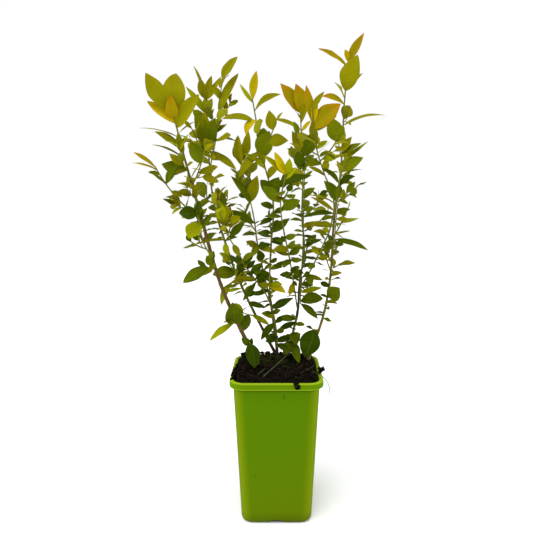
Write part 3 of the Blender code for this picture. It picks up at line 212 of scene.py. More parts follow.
# Leaves that give the crown its outline: shoot, stem (0 the main one), share along it, offset of
# the tip from the root and width in millimetres, turn of the upper face (0 to the sky, 90 to the
# viewer) and bend in degrees, and tint
Marked = namedtuple("Marked", "shoot stem share to width turn bend tint")
MARKED = (
    Marked("left", 0, 1.00, (-27, -8, 39), 21, 70, 20, "olive"),
    Marked("left", 0, 0.95, (3, 8, 47), 27, 75, 45, "olive"),
    Marked("left", 0, 0.90, (-2, -9, 25), 15, 80, 15, "bronze"),
    Marked("left", 0, 0.86, (-31, -6, 24), 14, 50, 15, "gold"),
    Marked("left", 0, 0.82, (28, -6, 36), 17, 65, 30, "olive"),
    Marked("left", 0, 0.72, (-45, -8, 10), 6, 20, 25, "olive"),
    Marked("left", 0, 0.62, (11, -14, 14), 7, 60, 20, "lime"),
    Marked("left", 0, 0.60, (-30, -10, 20), 11, 45, 25, "olive"),
    Marked("left", 0, 0.50, (-37, -8, 17), 7, 25, 30, "olive"),
    Marked("left", 0, 0.76, (20, 4, 15), 4, 20, 25, "bronze"),
    Marked("left", 0, 0.57, (-3, -13, 23), 9, 75, 15, "lime"),
    Marked("left_back", 0, 0.83, (-29, 0, 38), 12, 45, 60, "lime"),
    Marked("left_back", 0, 1.00, (-7, -6, 27), 12, 60, 35, "olive"),
    Marked("left_back", 0, 1.00, (9, -8, 30), 11, 75, 20, "olive"),
    Marked("left_back", 0, 0.99, (-18, 6, 47), 5, 20, 60, "olive"),
    Marked("left_back", 0, 0.45, (-16, -14, 50), 21, 75, 20, "green"),
    Marked("left_back", 0, 0.48, (12, -14, 38), 20, 75, 25, "green"),
    Marked("left_back", 0, 0.50, (42, -6, 4), 10, 25, 75, "green"),
    Marked("left_back", 0, 0.44, (39, -8, -26), 13, 40, 45, "olive"),
    Marked("left_back", 1, 1.00, (21, 0, 28), 15, 45, 45, "olive"),
    Marked("left_back", 1, 0.98, (11, -6, 5), 6, 40, 15, "bronze"),
    Marked("left_back", 1, 0.64, (28, -4, 49), 13, 50, 40, "olive"),
    Marked("left_back", 0, 1.00, (22, -7, 29), 11, 60, 20, "olive"),
    Marked("left_back", 0, 0.56, (-2, -17, 36), 13, 75, 20, "olive"),
    Marked("centre", 0, 1.00, (5, -2, 33), 10, 85, 10, "gold"),
    Marked("centre", 0, 0.96, (-16, -3, 22), 7, 45, 15, "lime"),
    Marked("centre", 0, 0.88, (32, -5, 19), 11, 40, 55, "olive"),
    Marked("centre", 0, 0.77, (-42, -5, 4), 11, 45, 75, "olive"),
    Marked("centre", 0, 0.80, (-12, -11, -19), 12, 40, 75, "gold"),
    Marked("centre", 0, 0.50, (-28, -6, -33), 12, 55, 40, "olive"),
    Marked("centre", 0, 0.43, (8, -10, 31), 23, 75, 25, "green"),
    Marked("centre", 0, 0.36, (-9, -7, 33), 10, 70, 15, "olive"),
    Marked("centre", 0, 0.30, (-28, -5, 20), 11, 38, 50, "lime"),
    Marked("centre", 0, 0.10, (51, -9, 17), 13, 60, 25, "deep"),
    Marked("centre", 0, 0.05, (9, -12, 21), 19, 70, 20, "green"),
    Marked("centre", 0, 0.03, (-15, -10, 20), 16, 70, 25, "deep"),
    Marked("back_left", 0, 0.92, (13, -6, 46), 15, 65, 20, "olive"),
    Marked("back_left", 0, 0.88, (-3, -10, 42), 14, 70, 15, "olive"),
    Marked("back_left", 0, 0.10, (-29, -8, 41), 11, 65, 25, "green"),
    Marked("back_left", 0, 0.14, (11, -8, 39), 17, 70, 25, "olive"),
    Marked("front", 0, 1.00, (-13, -4, 25), 10, 70, 15, "gold"),
    Marked("front", 0, 0.97, (-26, -5, 22), 10, 50, 25, "olive"),
    Marked("front", 0, 0.98, (4, -6, 18), 9, 75, 20, "lime"),
    Marked("front", 0, 0.90, (14, -8, 12), 9, 60, 20, "lime"),
    Marked("back_right", 0, 1.00, (-28, -5, 38), 18, 75, 20, "bronze"),
    Marked("back_right", 0, 0.98, (-7, -8, 38), 19, 75, 20, "bronze"),
    Marked("back_right", 0, 0.86, (11, -5, 33), 9, 65, 15, "olive"),
    Marked("back_right", 0, 0.78, (-40, -5, 14), 8, 45, 40, "olive"),
    Marked("back_right", 0, 0.76, (13, -8, 14), 7, 50, 15, "gold"),
    Marked("back_right", 0, 0.50, (-15, -12, 29), 14, 75, 20, "olive"),
    Marked("back_right", 0, 0.46, (17, -12, 34), 19, 75, 20, "green"),
    Marked("back_right", 0, 0.34, (-8, -11, 20), 16, 75, 20, "deep"),
    Marked("right", 0, 1.00, (19, -3, 34), 11, 70, 10, "bronze"),
    Marked("right", 0, 0.99, (-5, -4, 14), 7, 70, 10, "gold"),
    Marked("right", 0, 0.95, (-39, -3, 22), 8, 50, 25, "bronze"),
    Marked("right", 0, 0.77, (14, -6, 43), 25, 75, 20, "olive"),
    Marked("right", 0, 0.66, (-30, -5, 10), 11, 50, 60, "bronze"),
    Marked("right", 0, 0.50, (55, -5, 12), 9, 35, 50, "olive"),
    Marked("right", 0, 0.36, (-20, -10, 33), 22, 65, 20, "green"),
    Marked("right", 0, 0.27, (24, -8, 14), 11, 50, 30, "green"),
    Marked("right", 0, 0.20, (34, -4, 28), 7, 40, 15, "lime"),
    Marked("right", 0, 0.13, (28, -10, 18), 19, 60, 25, "green"),
    Marked("right", 0, 0.79, (23, 6, 21), 6, 60, 15, "olive"),
    Marked("right", 0, 0.08, (29, -4, 11), 4, 30, 50, "olive"),
    Marked("right", 0, 0.03, (15, -6, 19), 7, 60, 15, "lime"),
    Marked("right", 0, 0.02, (21, -6, -1), 7, 35, 75, "olive"),
    Marked("right_front", 0, 1.00, (13, -4, 19), 7, 65, 10, "olive"),
    Marked("right_front", 0, 0.80, (-9, -3, 44), 10, 75, 10, "bronze"),
    Marked("right_front", 0, 0.84, (3, -7, 27), 8, 80, 10, "gold"),
    Marked("right_front", 0, 0.76, (30, -8, 26), 22, 70, 45, "bronze"),
    Marked("right_front", 0, 0.50, (-4, -5, 38), 9, 75, 10, "olive"),
    Marked("right_front", 0, 0.20, (33, -6, 14), 7, 45, 30, "olive"),
    Marked("right_front", 0, 0.73, (26, -5, 16), 14, 60, 25, "olive"),
    Marked("right_front", 0, 0.35, (11, -4, 6), 6, 55, 20, "green"),
    Marked("right_front", 0, 0.36, (-10, -4, 5), 4, 40, 20, "bronze"),
    Marked("right_front", 0, 0.03, (-22, -5, 11), 9, 45, 20, "olive"),
    Marked("right_front", 0, 0.16, (20, -5, -19), 9, 40, 60, "deep"),
    Marked("slant", 0, 0.10, (-30, -5, 17), 8, 45, 25, "olive"),
    Marked("slant", 0, 0.05, (-38, -6, -5), 9, 45, 30, "deep"),
    Marked("slant", 0, 0.28, (-16, -8, 24), 15, 60, 35, "deep"),
    Marked("slant", 0, 0.30, (3, -7, 20), 10, 65, 25, "green"),
    Marked("slant", 0, 0.22, (-33, -6, 11), 5, 30, 40, "olive"),
    Marked("left_front", 0, 0.20, (20, -6, 19), 11, 65, 25, "deep"),
    Marked("left_front", 0, 0.12, (-45, -6, -6), 6, 30, 30, "olive"),
    Marked("left_front", 0, 0.03, (8, -8, -14), 8, 60, 30, "olive"),
    Marked("left_front", 0, 0.55, (-3, -9, 25), 12, 75, 20, "lime"),
    Marked("left_arch", 0, 0.97, (-24, -4, 17), 7, 35, 30, "bronze"),
    Marked("left_arch", 0, 0.92, (-29, -7, 8), 7, 30, 45, "gold"),
    Marked("left_arch", 0, 0.66, (-17, -5, 14), 6, 30, 15, "olive"),
    Marked("left_arch", 0, 0.70, (15, -7, 21), 10, 60, 30, "green"),
    Marked("left_arch", 0, 0.58, (14, -6, -8), 8, 45, 30, "olive"),
    Marked("left_shelf", 0, 0.90, (-20, -8, 1), 18, 55, 35, "deep"),
    Marked("left_shelf", 0, 0.45, (-13, -10, -18), 20, 60, 30, "lime"),
    Marked("left_knot", 0, 0.60, (-31, -6, -18), 17, 45, 45, "green"),
    Marked("left_inner", 0, 0.30, (-14, 8, -31), 9, 60, 30, "lime"),
    Marked("left_step", 0, 0.12, (-2, -10, 30), 24, 75, 45, "green"),
    Marked("left_step", 0, 0.35, (-31, -6, -22), 11, 45, 50, "lime"),
    Marked("left_heel", 0, 0.90, (7, -11, -30), 19, 65, 30, "deep"),
    Marked("right_foot", 0, 0.50, (-14, -13, -35), 28, 65, 25, "deep"),
    Marked("right_out", 0, 0.60, (24, -6, 4), 9, 40, 20, "olive"),
    Marked("right_in", 0, 0.66, (16, -7, -1), 8, 50, 25, "olive"),
    Marked("right_in", 0, 0.20, (44, -8, -14), 11, 45, 45, "green"),
    Marked("right_in", 0, 0.33, (20, -5, 4), 4, 40, 20, "olive"),
    Marked("right_in", 0, 0.50, (-31, -12, 1), 10, 60, 20, "olive"),
    Marked("slant_low", 0, 0.92, (-19, -7, 5), 9, 50, 20, "olive"),
    Marked("left_back_low", 0, 0.30, (-13, -8, -24), 17, 60, 35, "green"),
    Marked("left_back_low", 0, 0.10, (24, -8, -12), 8, 50, 30, "lime"),
    Marked("left_back_mid", 0, 0.97, (-15, -8, 10), 9, 55, 25, "lime"),
    Marked("left_back_mid", 0, 0.70, (-32, -8, -1), 20, 62, 30, "green"),
    Marked("left_back_mid", 0, 0.40, (-25, -8, -4), 6, 45, 25, "lime"),
    Marked("left_back_mid", 0, 0.12, (24, -8, -6), 9, 50, 25, "deep"),
    Marked("left_back_bend", 0, 0.05, (6, -8, -19), 9, 60, 25, "lime"),
    Marked("left_back_bend", 0, 0.62, (22, -7, -2), 7, 50, 25, "green"),
    Marked("left_front_low", 0, 0.10, (-22, -12, 3), 7, 50, 25, "olive"),
    Marked("left_front_low", 0, 0.00, (-17, -8, -24), 7, 50, 25, "deep"),
    Marked("left_front_low", 0, 0.04, (-31, -8, -2), 8, 45, 25, "olive"),
    Marked("centre_foot", 0, 0.60, (-19, -8, -22), 10, 60, 30, "deep"),
    Marked("centre_foot", 0, 0.10, (18, -10, -7), 10, 60, 30, "deep"),
    Marked("centre_foot", 0, 0.95, (29, -9, 16), 11, 60, 30, "deep"),
    Marked("centre_foot", 0, 0.74, (-17, -8, 7), 10, 60, 30, "olive"),
    Marked("centre_low", 0, 0.20, (21, -8, -8), 11, 60, 70, "gold"),
    Marked("centre_low", 0, 0.25, (17, -9, 1), 8, 60, 25, "lime"),
    Marked("centre_low", 0, 0.06, (-26, 6, -8), 8, 50, 25, "deep"),
    Marked("centre_mid", 0, 0.60, (-17, -8, -8), 8, 60, 25, "deep"),
    Marked("centre_mid", 0, 0.30, (23, -10, 19), 11, 65, 20, "deep"),
    Marked("back_left_low", 0, 0.98, (-3, -10, 19), 13, 70, 20, "deep"),
    Marked("back_left_low", 0, 0.94, (-13, -9, -15), 10, 60, 25, "deep"),
    Marked("back_left_low", 0, 0.85, (-4, -8, -27), 14, 60, 15, "deep"),
    Marked("back_left_low", 0, 0.74, (14, -8, -14), 10, 60, 20, "deep"),
    Marked("back_left_mid", 0, 0.02, (-18, -8, 10), 11, 60, 25, "olive"),
    Marked("back_left_mid", 0, 0.03, (27, -8, -9), 11, 60, 25, "olive"),
    Marked("back_left_mid", 0, 0.14, (-9, -15, -18), 11, 60, 20, "olive"),
    Marked("back_left_mid", 0, 0.95, (-40, -8, 20), 13, 60, 25, "deep"),
    Marked("front_low", 0, 0.40, (-22, -7, -1), 7, 50, 25, "deep"),
    Marked("front_low", 0, 0.02, (-6, -10, -16), 8, 65, 20, "gold"),
    Marked("front_foot", 0, 0.25, (-25, -6, -4), 10, 50, 25, "deep"),
    Marked("front_foot", 0, 0.35, (-12, -7, 0), 5, 50, 25, "green"),
    Marked("front_foot", 0, 0.45, (4, -16, -14), 15, 55, 35, "green"),
    Marked("front_foot", 0, 0.85, (-26, -9, -10), 9, 55, 25, "deep"),
    Marked("front_foot", 0, 0.96, (-28, -8, 3), 10, 55, 25, "green"),
    Marked("front_foot", 0, 0.06, (-11, -14, -13), 16, 60, 20, "green"),
    Marked("front_foot", 0, 0.14, (10, -32, -22), 13, 60, 15, "green"),
    Marked("back_right_low", 0, 0.02, (24, -10, -20), 10, 50, 30, "green"),
    Marked("back_right_low", 0, 0.12, (31, -10, 5), 17, 60, 30, "green"),
    Marked("back_right_low", 0, 0.42, (29, -8, 8), 10, 50, 40, "lime"),
    Marked("back_right_bend", 0, 0.03, (-31, -8, 0), 8, 50, 50, "olive"),
    Marked("back_right_bend", 0, 0.10, (24, -8, 9), 7, 50, 25, "deep"),
    Marked("rear_low", 0, 0.86, (40, -8, 5), 8, 45, 60, "olive"),
    Marked("right_low", 0, 0.42, (15, -8, 14), 22, 65, 30, "green"),
    Marked("slant_low", 0, 0.04, (20, -8, -6), 8, 55, 25, "olive"),
)

# The rule that sets the other leaves, with angles in degrees. Each stands two fifths of a turn
# round from the one before, and is turned on by a swing where it would touch another.
LEAF_TURN = 144.0
TURN_SWAY = 16.0
SPREAD_SWAY = 9.0
BEND_RANGE = (12.0, 48.0)
ROLL = 34.0
WIDTH_SHARE = 0.54
SIZE_SWAY = 0.14
DROOP = Vector((0, 0, -0.10))
SKYWARD = Vector((0, -0.35, 0.45))
CROWN_AXIS = Vector((0, 25, 0)) * MM
FACE_OUT = 0.50
ALONG_STEM = 0.45
BARE_SHARE = 0.10
OTHER_TINT = 0.18
SWINGS = (0.0, 26.0, -26.0, 52.0, -52.0, 80.0, -80.0)
NODE_GAP = 3.5 * MM
CROWN_BOX = (Vector((-186, -128, 206)) * MM, Vector((146, 146, 634)) * MM)

# Side twigs of a shoot: where along it they may start, and how long they are beside it
TWIG_FROM = 0.10
TWIG_ROOM = 0.50
TWIG_SHARE = 0.50
TWIG_REACH = 44 * MM
TWIG_SWAY = (0.75, 1.1)
TWIG_VIGOUR = 0.85

# Leaf blade: how far along it the wide sections lie, its thickness, the root sunk in its stem,
# and the air kept round it
MARKED_STATIONS = (0.30, 0.68)
RULE_STATIONS = (0.42,)
LEAF_THICK = 0.5 * MM
LEAF_THICK_SHARE = 0.012
ROOT_HALF = 0.32 * MM
TIP_SINK = 1.2 * MM
GUARD = 0.45 * MM
GUARD_FROM = 3.2 * MM

TINTS = ("deep", "green", "olive", "lime", "gold", "bronze")
# Paths and tubes


def spline(points, step):
    """A smooth curve through the points, as evenly spaced places about a step apart."""
    ends = [2 * points[0] - points[1], *points, 2 * points[-1] - points[-2]]
    fine = []
    for before, start, end, after in zip(ends, ends[1:], ends[2:], ends[3:]):
        for k in range(12):
            t = k / 12
            ease = 3 * t * t - 2 * t**3
            pull = (end - before) * (t - 2 * t * t + t**3)
            push = (after - start) * (t**3 - t * t)
            fine.append(start.lerp(end, ease) + (pull + push) / 2)
    fine.append(points[-1])
    return even(fine, step)


def even(path, step):
    """The path as places evenly spaced along it."""
    reach = [0.0]
    for a, b in zip(path, path[1:]):
        reach.append(reach[-1] + (b - a).length)
    count = max(2, round(reach[-1] / step))
    places = []
    k = 0
    for i in range(count + 1):
        goal = reach[-1] * i / count
        while k < len(path) - 2 and reach[k + 1] < goal:
            k += 1
        share = (goal - reach[k]) / (reach[k + 1] - reach[k])
        places.append(path[k].lerp(path[k + 1], share))
    return places


def point_on(path, share):
    """Place and direction at a share of an evenly spaced path."""
    spot = min(max(share, 0.0), 1.0) * (len(path) - 1)
    k = min(int(spot), len(path) - 2)
    return path[k].lerp(path[k + 1], spot - k), (path[k + 1] - path[k]).normalized()


def share_at_height(path, height):
    for k in range(len(path) - 1):
        if path[k + 1].z >= height:
            return (k + (height - path[k].z) / (path[k + 1].z - path[k].z)) / (len(path) - 1)
    return 1.0


def square_to(direction):
    """Two unit vectors square to a direction and to each other."""
    side = direction.cross(Vector((0.31, 0.95, 0.05))).normalized()
    return side, direction.cross(side).normalized()


def tube_rings(path, radii, sides, flat_foot=False):
    """A ring of points round each place of a path, carried along it without twisting."""
    rings = []
    side = None
    for k, place in enumerate(path):
        ahead = (path[min(k + 1, len(path) - 1)] - path[max(k - 1, 0)]).normalized()
        if k == 0 and flat_foot:
            ahead = Vector((0, 0, 1))
        side = square_to(ahead)[0] if side is None else (side - ahead * side.dot(ahead)).normalized()
        other = ahead.cross(side)
        turns = [2 * math.pi * i / sides for i in range(sides)]
        rings.append([place + radii[k] * (math.cos(a) * side + math.sin(a) * other) for a in turns])
    return rings


def lift_cap(bm, cap, keep):
    """Extrudes a cap face, drops the old one unless it closes the foot, and gives the new one."""
    made = bmesh.ops.extrude_face_region(bm, geom=[cap])
    if not keep:
        bm.faces.remove(cap)
    return next(item for item in made["geom"] if isinstance(item, bmesh.types.BMFace))


def skin(bm, rings, point=None):
    """Extrudes a face from ring to ring, and draws the last one together at a point if given."""
    cap = bm.faces.new([bm.verts.new(place) for place in rings[0]])
    for k, ring in enumerate(rings[1:]):
        cap = lift_cap(bm, cap, keep=k == 0)
        for vert, place in zip(cap.verts, ring):
            vert.co = place
    if point is not None:
        cap = lift_cap(bm, cap, keep=False)
        bmesh.ops.pointmerge(bm, verts=cap.verts[:], merge_co=point)


def tree_of(bm):
    """The mesh as a search tree with its box, for finding what it would touch."""
    corners = [vert.co.copy() for vert in bm.verts]
    bm.verts.index_update()
    faces = [[vert.index for vert in face.verts] for face in bm.faces]
    low = Vector([min(corner[i] for corner in corners) for i in range(3)])
    high = Vector([max(corner[i] for corner in corners) for i in range(3)])
    bm.free()
    return BVHTree.FromPolygons(corners, faces), low, high


class Space:
    """What already stands in the crown. A newcomer is let in only where it touches nothing."""

    def __init__(self, bark=None):
        self.taken = []
        self.bark = bark

    def free_for(self, shape, owners=()):
        tree, low, high = shape
        for owner, (other, other_low, other_high) in self.taken:
            if owner in owners:
                continue
            if any(low[i] > other_high[i] or high[i] < other_low[i] for i in range(3)):
                continue
            if tree.overlap(other):
                return False
        return True

    def take(self, shape, owner):
        self.taken.append((owner, shape))


# Leaves


Leaf = namedtuple("Leaf", "root chord normal length width bend tint shoot stem stations")


def leaf_at(leaf, share):
    """Centre of the blade, its direction and its upper side at a share of its length."""
    bend = leaf.bend
    ahead = math.cos(bend / 2) * leaf.chord + math.sin(bend / 2) * leaf.normal
    upper = math.cos(bend / 2) * leaf.normal - math.sin(bend / 2) * leaf.chord
    turned = bend * share
    reach = leaf.length / bend
    place = leaf.root + reach * (math.sin(turned) * ahead - (1 - math.cos(turned)) * upper)
    along = math.cos(turned) * ahead - math.sin(turned) * upper
    above = math.cos(turned) * upper + math.sin(turned) * ahead
    return place, along, above


def blade_breadth(share):
    """Half the blade's breadth as a share of its greatest half breadth."""
    return math.sin(math.pi * share**0.9) ** 0.8


def blade_ring(leaf, share, guard=0.0):
    """Left edge, right edge and keel of the blade at a share of its length."""
    place, ahead, upper = leaf_at(leaf, share)
    across = ahead.cross(upper)
    half = leaf.width / 2 * blade_breadth(share) + guard
    thick = max(LEAF_THICK, LEAF_THICK_SHARE * leaf.length) + guard
    top = place + (thick / 3 + guard) * upper
    return [top - half * across, top + half * across, place - thick * upper]


def leaf_shape(leaf):
    bm = bmesh.new()
    place, ahead, upper = leaf_at(leaf, 0.0)
    across = ahead.cross(upper)
    top = place + ROOT_HALF * upper
    root = [top - ROOT_HALF * across, top + ROOT_HALF * across, place - ROOT_HALF * upper]
    tip = leaf_at(leaf, 1.0)[0]
    skin(bm, [root] + [blade_ring(leaf, share) for share in leaf.stations], tip)
    return bm


def leaf_guard(leaf):
    """The leaf with a little air round it, from just off its stem to past its tip."""
    bm = bmesh.new()
    first = GUARD_FROM / leaf.length
    shares = (first, *leaf.stations)
    place, ahead, _ = leaf_at(leaf, 1.0)
    skin(bm, [blade_ring(leaf, share, GUARD) for share in shares], place + 2 * GUARD * ahead)
    return tree_of(bm)


def in_crown(leaf):
    low, high = CROWN_BOX
    for share in (0.35, 0.7, 1.0):
        place = leaf_at(leaf, share)[0]
        if any(place[i] < low[i] or place[i] > high[i] for i in range(3)):
            return False
    return True


def leaf_root(stem, share):
    """Where a leaf springs from its stem, never nearer to its end than the sink."""
    return point_on(stem.path, min(share, 1 - TIP_SINK / stem.length))


def marked_leaf(mark, stems):
    root = leaf_root(stems[mark.stem], mark.share)[0]
    chord = Vector(mark.to) * MM
    turn = math.radians(mark.turn)
    faces = Vector((0, -math.sin(turn), math.cos(turn)))
    bend = math.radians(mark.bend)
    length = chord.length * (bend / 2) / math.sin(bend / 2)
    chord.normalize()
    normal = (faces - faces.dot(chord) * chord).normalized()
    size = (length, mark.width * MM, bend)
    return Leaf(root, chord, normal, *size, mark.tint, mark.shoot, mark.stem, MARKED_STATIONS)


def leaf_size(share):
    """A shoot's leaves are small at its foot, full above the middle and small again at the tip."""
    return 0.72 + 0.36 * math.sin(math.pi * min(share * 1.1, 1.0) ** 1.2) - 0.10 * share


def other_tint(tint, draw):
    """The shoot's own tint, or now and then the next one darker or lighter."""
    k = TINTS.index(tint)
    if draw < OTHER_TINT:
        return TINTS[max(k - 1, 0)]
    if draw > 1 - OTHER_TINT:
        return TINTS[min(k + 1, len(TINTS) - 1)]
    return tint


def outward(place):
    """The level direction from the middle of the crown to a place."""
    away = place - CROWN_AXIS
    return Vector((away.x, away.y, 0)).normalized()


def rule_leaves(shoot, stem, number, rng):
    """Leaves round one stem, each with the turned copies that may be tried in its place."""
    count = max(2, round(stem.length * (1 - BARE_SHARE) / (shoot.spacing * MM)))
    start = rng.uniform(0, 360)
    for i in range(count + 1):
        share = BARE_SHARE + (1 - BARE_SHARE) * i / count
        root, ahead = leaf_root(stem, share)
        side, other = square_to(ahead)
        low, tip = shoot.spread
        spread = math.radians(low + (tip - low) * share + rng.uniform(-SPREAD_SWAY, SPREAD_SWAY))
        size = shoot.leaf * MM * leaf_size(share) * stem.vigour
        size *= rng.uniform(1 - SIZE_SWAY, 1 + SIZE_SWAY)
        width = size * WIDTH_SHARE * rng.uniform(1 - SIZE_SWAY, 1 + SIZE_SWAY)
        bend = math.radians(rng.uniform(*BEND_RANGE))
        roll = math.radians(rng.uniform(-ROLL, ROLL))
        tint = other_tint(shoot.tint, rng.random())
        swing = start + i * LEAF_TURN + rng.uniform(-TURN_SWAY, TURN_SWAY)
        tries = []
        for turn in SWINGS:
            angle = math.radians(swing + turn)
            out = math.cos(angle) * side + math.sin(angle) * other
            chord = (math.cos(spread) * ahead + math.sin(spread) * out + DROOP).normalized()
            faces = ALONG_STEM * ahead + SKYWARD + FACE_OUT * outward(root)
            normal = (faces - faces.dot(chord) * chord).normalized()
            normal = Matrix.Rotation(roll, 3, chord) @ normal
            whole = (root, chord, normal, size, width, bend, tint, shoot.name, number)
            tries.append(Leaf(*whole, RULE_STATIONS))
        yield tries


# Canes and shoots


Limb = namedtuple("Limb", "cane path top")
Shoot = namedtuple("Shoot", "name leaf spacing twigs tint spread stems")
Stem = namedtuple("Stem", "path radii length vigour owner")


def make_stem(path, first, last, vigour, owner):
    count = len(path) - 1
    radii = [first + (last - first) * k / count for k in range(count + 1)]
    length = sum((b - a).length for a, b in zip(path, path[1:]))
    return Stem(path, radii, length, vigour, owner)


def stem_guard(stem):
    bm = bmesh.new()
    skin(bm, tube_rings(stem.path, [radius + GUARD for radius in stem.radii], 5))
    return tree_of(bm)


def heading_of(heading, rise):
    flat = math.cos(math.radians(rise))
    turn = math.radians(heading)
    return Vector((flat * math.cos(turn), flat * math.sin(turn), math.sin(math.radians(rise))))


def arching_path(start, heading, rise, length):
    """A path that leaves on a heading and turns up along its length."""
    steps = max(3, round(length / (SHOOT_STEP * MM)))
    path = [start]
    for k in range(steps):
        lift = SIDE_LIFT * (k + 0.5) / steps
        path.append(path[-1] + heading_of(heading, min(rise + lift, STEEPEST)) * length / steps)
    return path


def cane_radius(cane, share):
    return (cane.foot_radius + (cane.neck_radius - cane.foot_radius) * share) * MM


def beside(limb, height, ahead, own_radius):
    """Where a bough or shoot starts on a heading, just clear of the bark of its limb."""
    share = share_at_height(limb.path, height * MM)
    place, along = point_on(limb.path, share)
    radius = limb_radii(limb)[round(share * (len(limb.path) - 1))]
    cosine = abs(ahead.dot(along))
    sine = math.sqrt(1 - cosine * cosine)
    return place + ahead * (radius + CLEAR + own_radius * cosine) / sine


def limb_of(cane, limbs):
    """The cane's own limb, and the path of the leafy shoot that goes on from its tip."""
    way = [Vector(point) * MM for point in cane.way]
    if cane.host is None:
        foot = Vector((*cane.start, PEAT_TOP)) * MM + Vector((0, 0, CLEAR))
    else:
        host = limbs[cane.host]
        place, _ = point_on(host.path, share_at_height(host.path, cane.start * MM))
        ahead = (way[0] - place).normalized()
        foot = beside(host, cane.start, ahead, cane.foot_radius * MM)
    whole = spline([foot, *way], 3 * MM)
    split = round(share_at_height(whole, cane.leafy * MM) * (len(whole) - 1))
    ahead = (whole[split + 1] - whole[split]).normalized()
    top = [whole[split] + ahead * JOINT_CLEAR, *whole[split + 1 :]]
    return Limb(cane, even(whole[: split + 1], CANE_STEP * MM), even(top, SHOOT_STEP * MM))


def limb_radii(limb):
    """The cane's taper, with a flare where it leaves the peat."""
    count = len(limb.path) - 1
    radii = [cane_radius(limb.cane, k / count) for k in range(count + 1)]
    if limb.cane.host is None:
        for k, place in enumerate(limb.path):
            away = (place.z - PEAT_TOP * MM) / (FLARE_REACH * MM)
            radii[k] *= 1 + FLARE * math.exp(-away)
    return radii


def limb_rings(limb, guard=0.0):
    sides = 8 if limb.cane.foot_radius > THICK_CANE else 6
    radii = [radius + guard for radius in limb_radii(limb)]
    return tube_rings(limb.path, radii, sides, limb.cane.host is None)


def crown_shoot(crown, limb):
    owner = crown.cane + "_stem"
    first = limb.cane.neck_radius * MM * NECK_STEP
    stems = [make_stem(limb.top, first, TIP_RADIUS * MM, 1.0, owner + "0")]
    if crown.cane in FORKS:
        share, way = FORKS[crown.cane]
        start = point_on(limb.top, share)[0]
        path = spline([start, *[Vector(point) * MM for point in way]], SHOOT_STEP * MM)
        stems.append(make_stem(path, TWIG_RADIUS * MM, TIP_RADIUS * MM, 0.9, owner + "1"))
    looks = (crown.leaf, crown.spacing, crown.twigs, crown.tint, UPWARD_SPREAD)
    return Shoot(crown.cane, *looks, stems)


def side_shoot(side, limb):
    ahead = heading_of(side.heading, side.rise)
    start = beside(limb, side.height, ahead, SIDE_RADIUS * MM)
    path = arching_path(start, side.heading, side.rise, side.length * MM)
    stems = [make_stem(path, SIDE_RADIUS * MM, TIP_RADIUS * MM, 1.0, side.name + "_stem0")]
    looks = (side.leaf, side.spacing, side.twigs, side.tint, UPWARD_SPREAD)
    return Shoot(side.name, *looks, stems)


def climbing_shoot(climber, limb):
    """A shoot whose stem keeps just clear of the bark of its cane all the way up."""
    radii = limb_radii(limb)
    out = heading_of(climber.heading, 0)
    path = []
    for k in range(1, len(limb.path)):
        place = limb.path[k]
        if climber.foot * MM <= place.z <= climber.top * MM:
            ahead = (limb.path[min(k + 1, len(limb.path) - 1)] - limb.path[k - 1]).normalized()
            away = (out - ahead * out.dot(ahead)).normalized()
            path.append(place + away * (radii[k] + CLEAR + CLIMB_AIR + CLIMB_RADIUS * MM))
    stems = [make_stem(path, CLIMB_RADIUS * MM, CLIMB_RADIUS * MM, 1.0, climber.name + "_stem0")]
    looks = (climber.leaf, climber.spacing, 0, climber.tint, LEVEL_SPREAD)
    return Shoot(climber.name, *looks, stems)


def add_twigs(shoot, space, rng):
    """Side twigs from the main stem, each turned on until it touches nothing."""
    main = shoot.stems[0]
    for k in range(shoot.twigs):
        share = TWIG_FROM + TWIG_ROOM * (k + rng.uniform(0.2, 0.8)) / shoot.twigs
        swing = rng.uniform(0, 360) + k * LEAF_TURN
        length = min(main.length * TWIG_SHARE, TWIG_REACH) * rng.uniform(*TWIG_SWAY)
        root, ahead = point_on(main.path, share)
        side, other = square_to(ahead)
        owner = f"{shoot.name}_stem{len(shoot.stems)}"
        for turn in SWINGS:
            angle = math.radians(swing + turn)
            out = 0.75 * ahead + math.cos(angle) * side + math.sin(angle) * other
            rise = math.degrees(math.asin(out.normalized().z))
            path = arching_path(root, math.degrees(math.atan2(out.y, out.x)), rise, length)
            twig = make_stem(path, TWIG_RADIUS * MM, TIP_RADIUS * MM, TWIG_VIGOUR, owner)
            guard = stem_guard(twig)
            if space.free_for(guard, (main.owner,)):
                space.take(guard, owner)
                shoot.stems.append(twig)
                break


def settle(leaf, shoot, space, leaves, family=()):
    """Lets the leaf in if it stays in the crown and touches nothing but its stem and its family."""
    if not in_crown(leaf):
        return False
    if not space.bark.free_for(tree_of(leaf_shape(leaf))):
        return False
    guard = leaf_guard(leaf)
    if not space.free_for(guard, (shoot.stems[leaf.stem].owner, *family)):
        return False
    space.take(guard, leaf.shoot + "_leaf")
    leaves.append(leaf)
    return True


def node_is_taken(leaf, leaves):
    """Whether another leaf of the same shoot springs from almost the same place."""
    own = [other for other in leaves if other.shoot == leaf.shoot]
    return any((other.root - leaf.root).length < NODE_GAP for other in own)


def set_marked_leaves(shoots, space, leaves):
    by_name = {shoot.name: shoot for shoot in shoots}
    for mark in MARKED:
        shoot = by_name[mark.shoot]
        family = [stem.owner for stem in shoot.stems] + [shoot.name + "_leaf"]
        settle(marked_leaf(mark, shoot.stems), shoot, space, leaves, family)


def set_rule_leaves(shoot, space, leaves, rng):
    for number, stem in enumerate(shoot.stems):
        for tries in rule_leaves(shoot, stem, number, rng):
            if node_is_taken(tries[0], leaves):
                continue
            for leaf in tries:
                if settle(leaf, shoot, space, leaves):
                    break


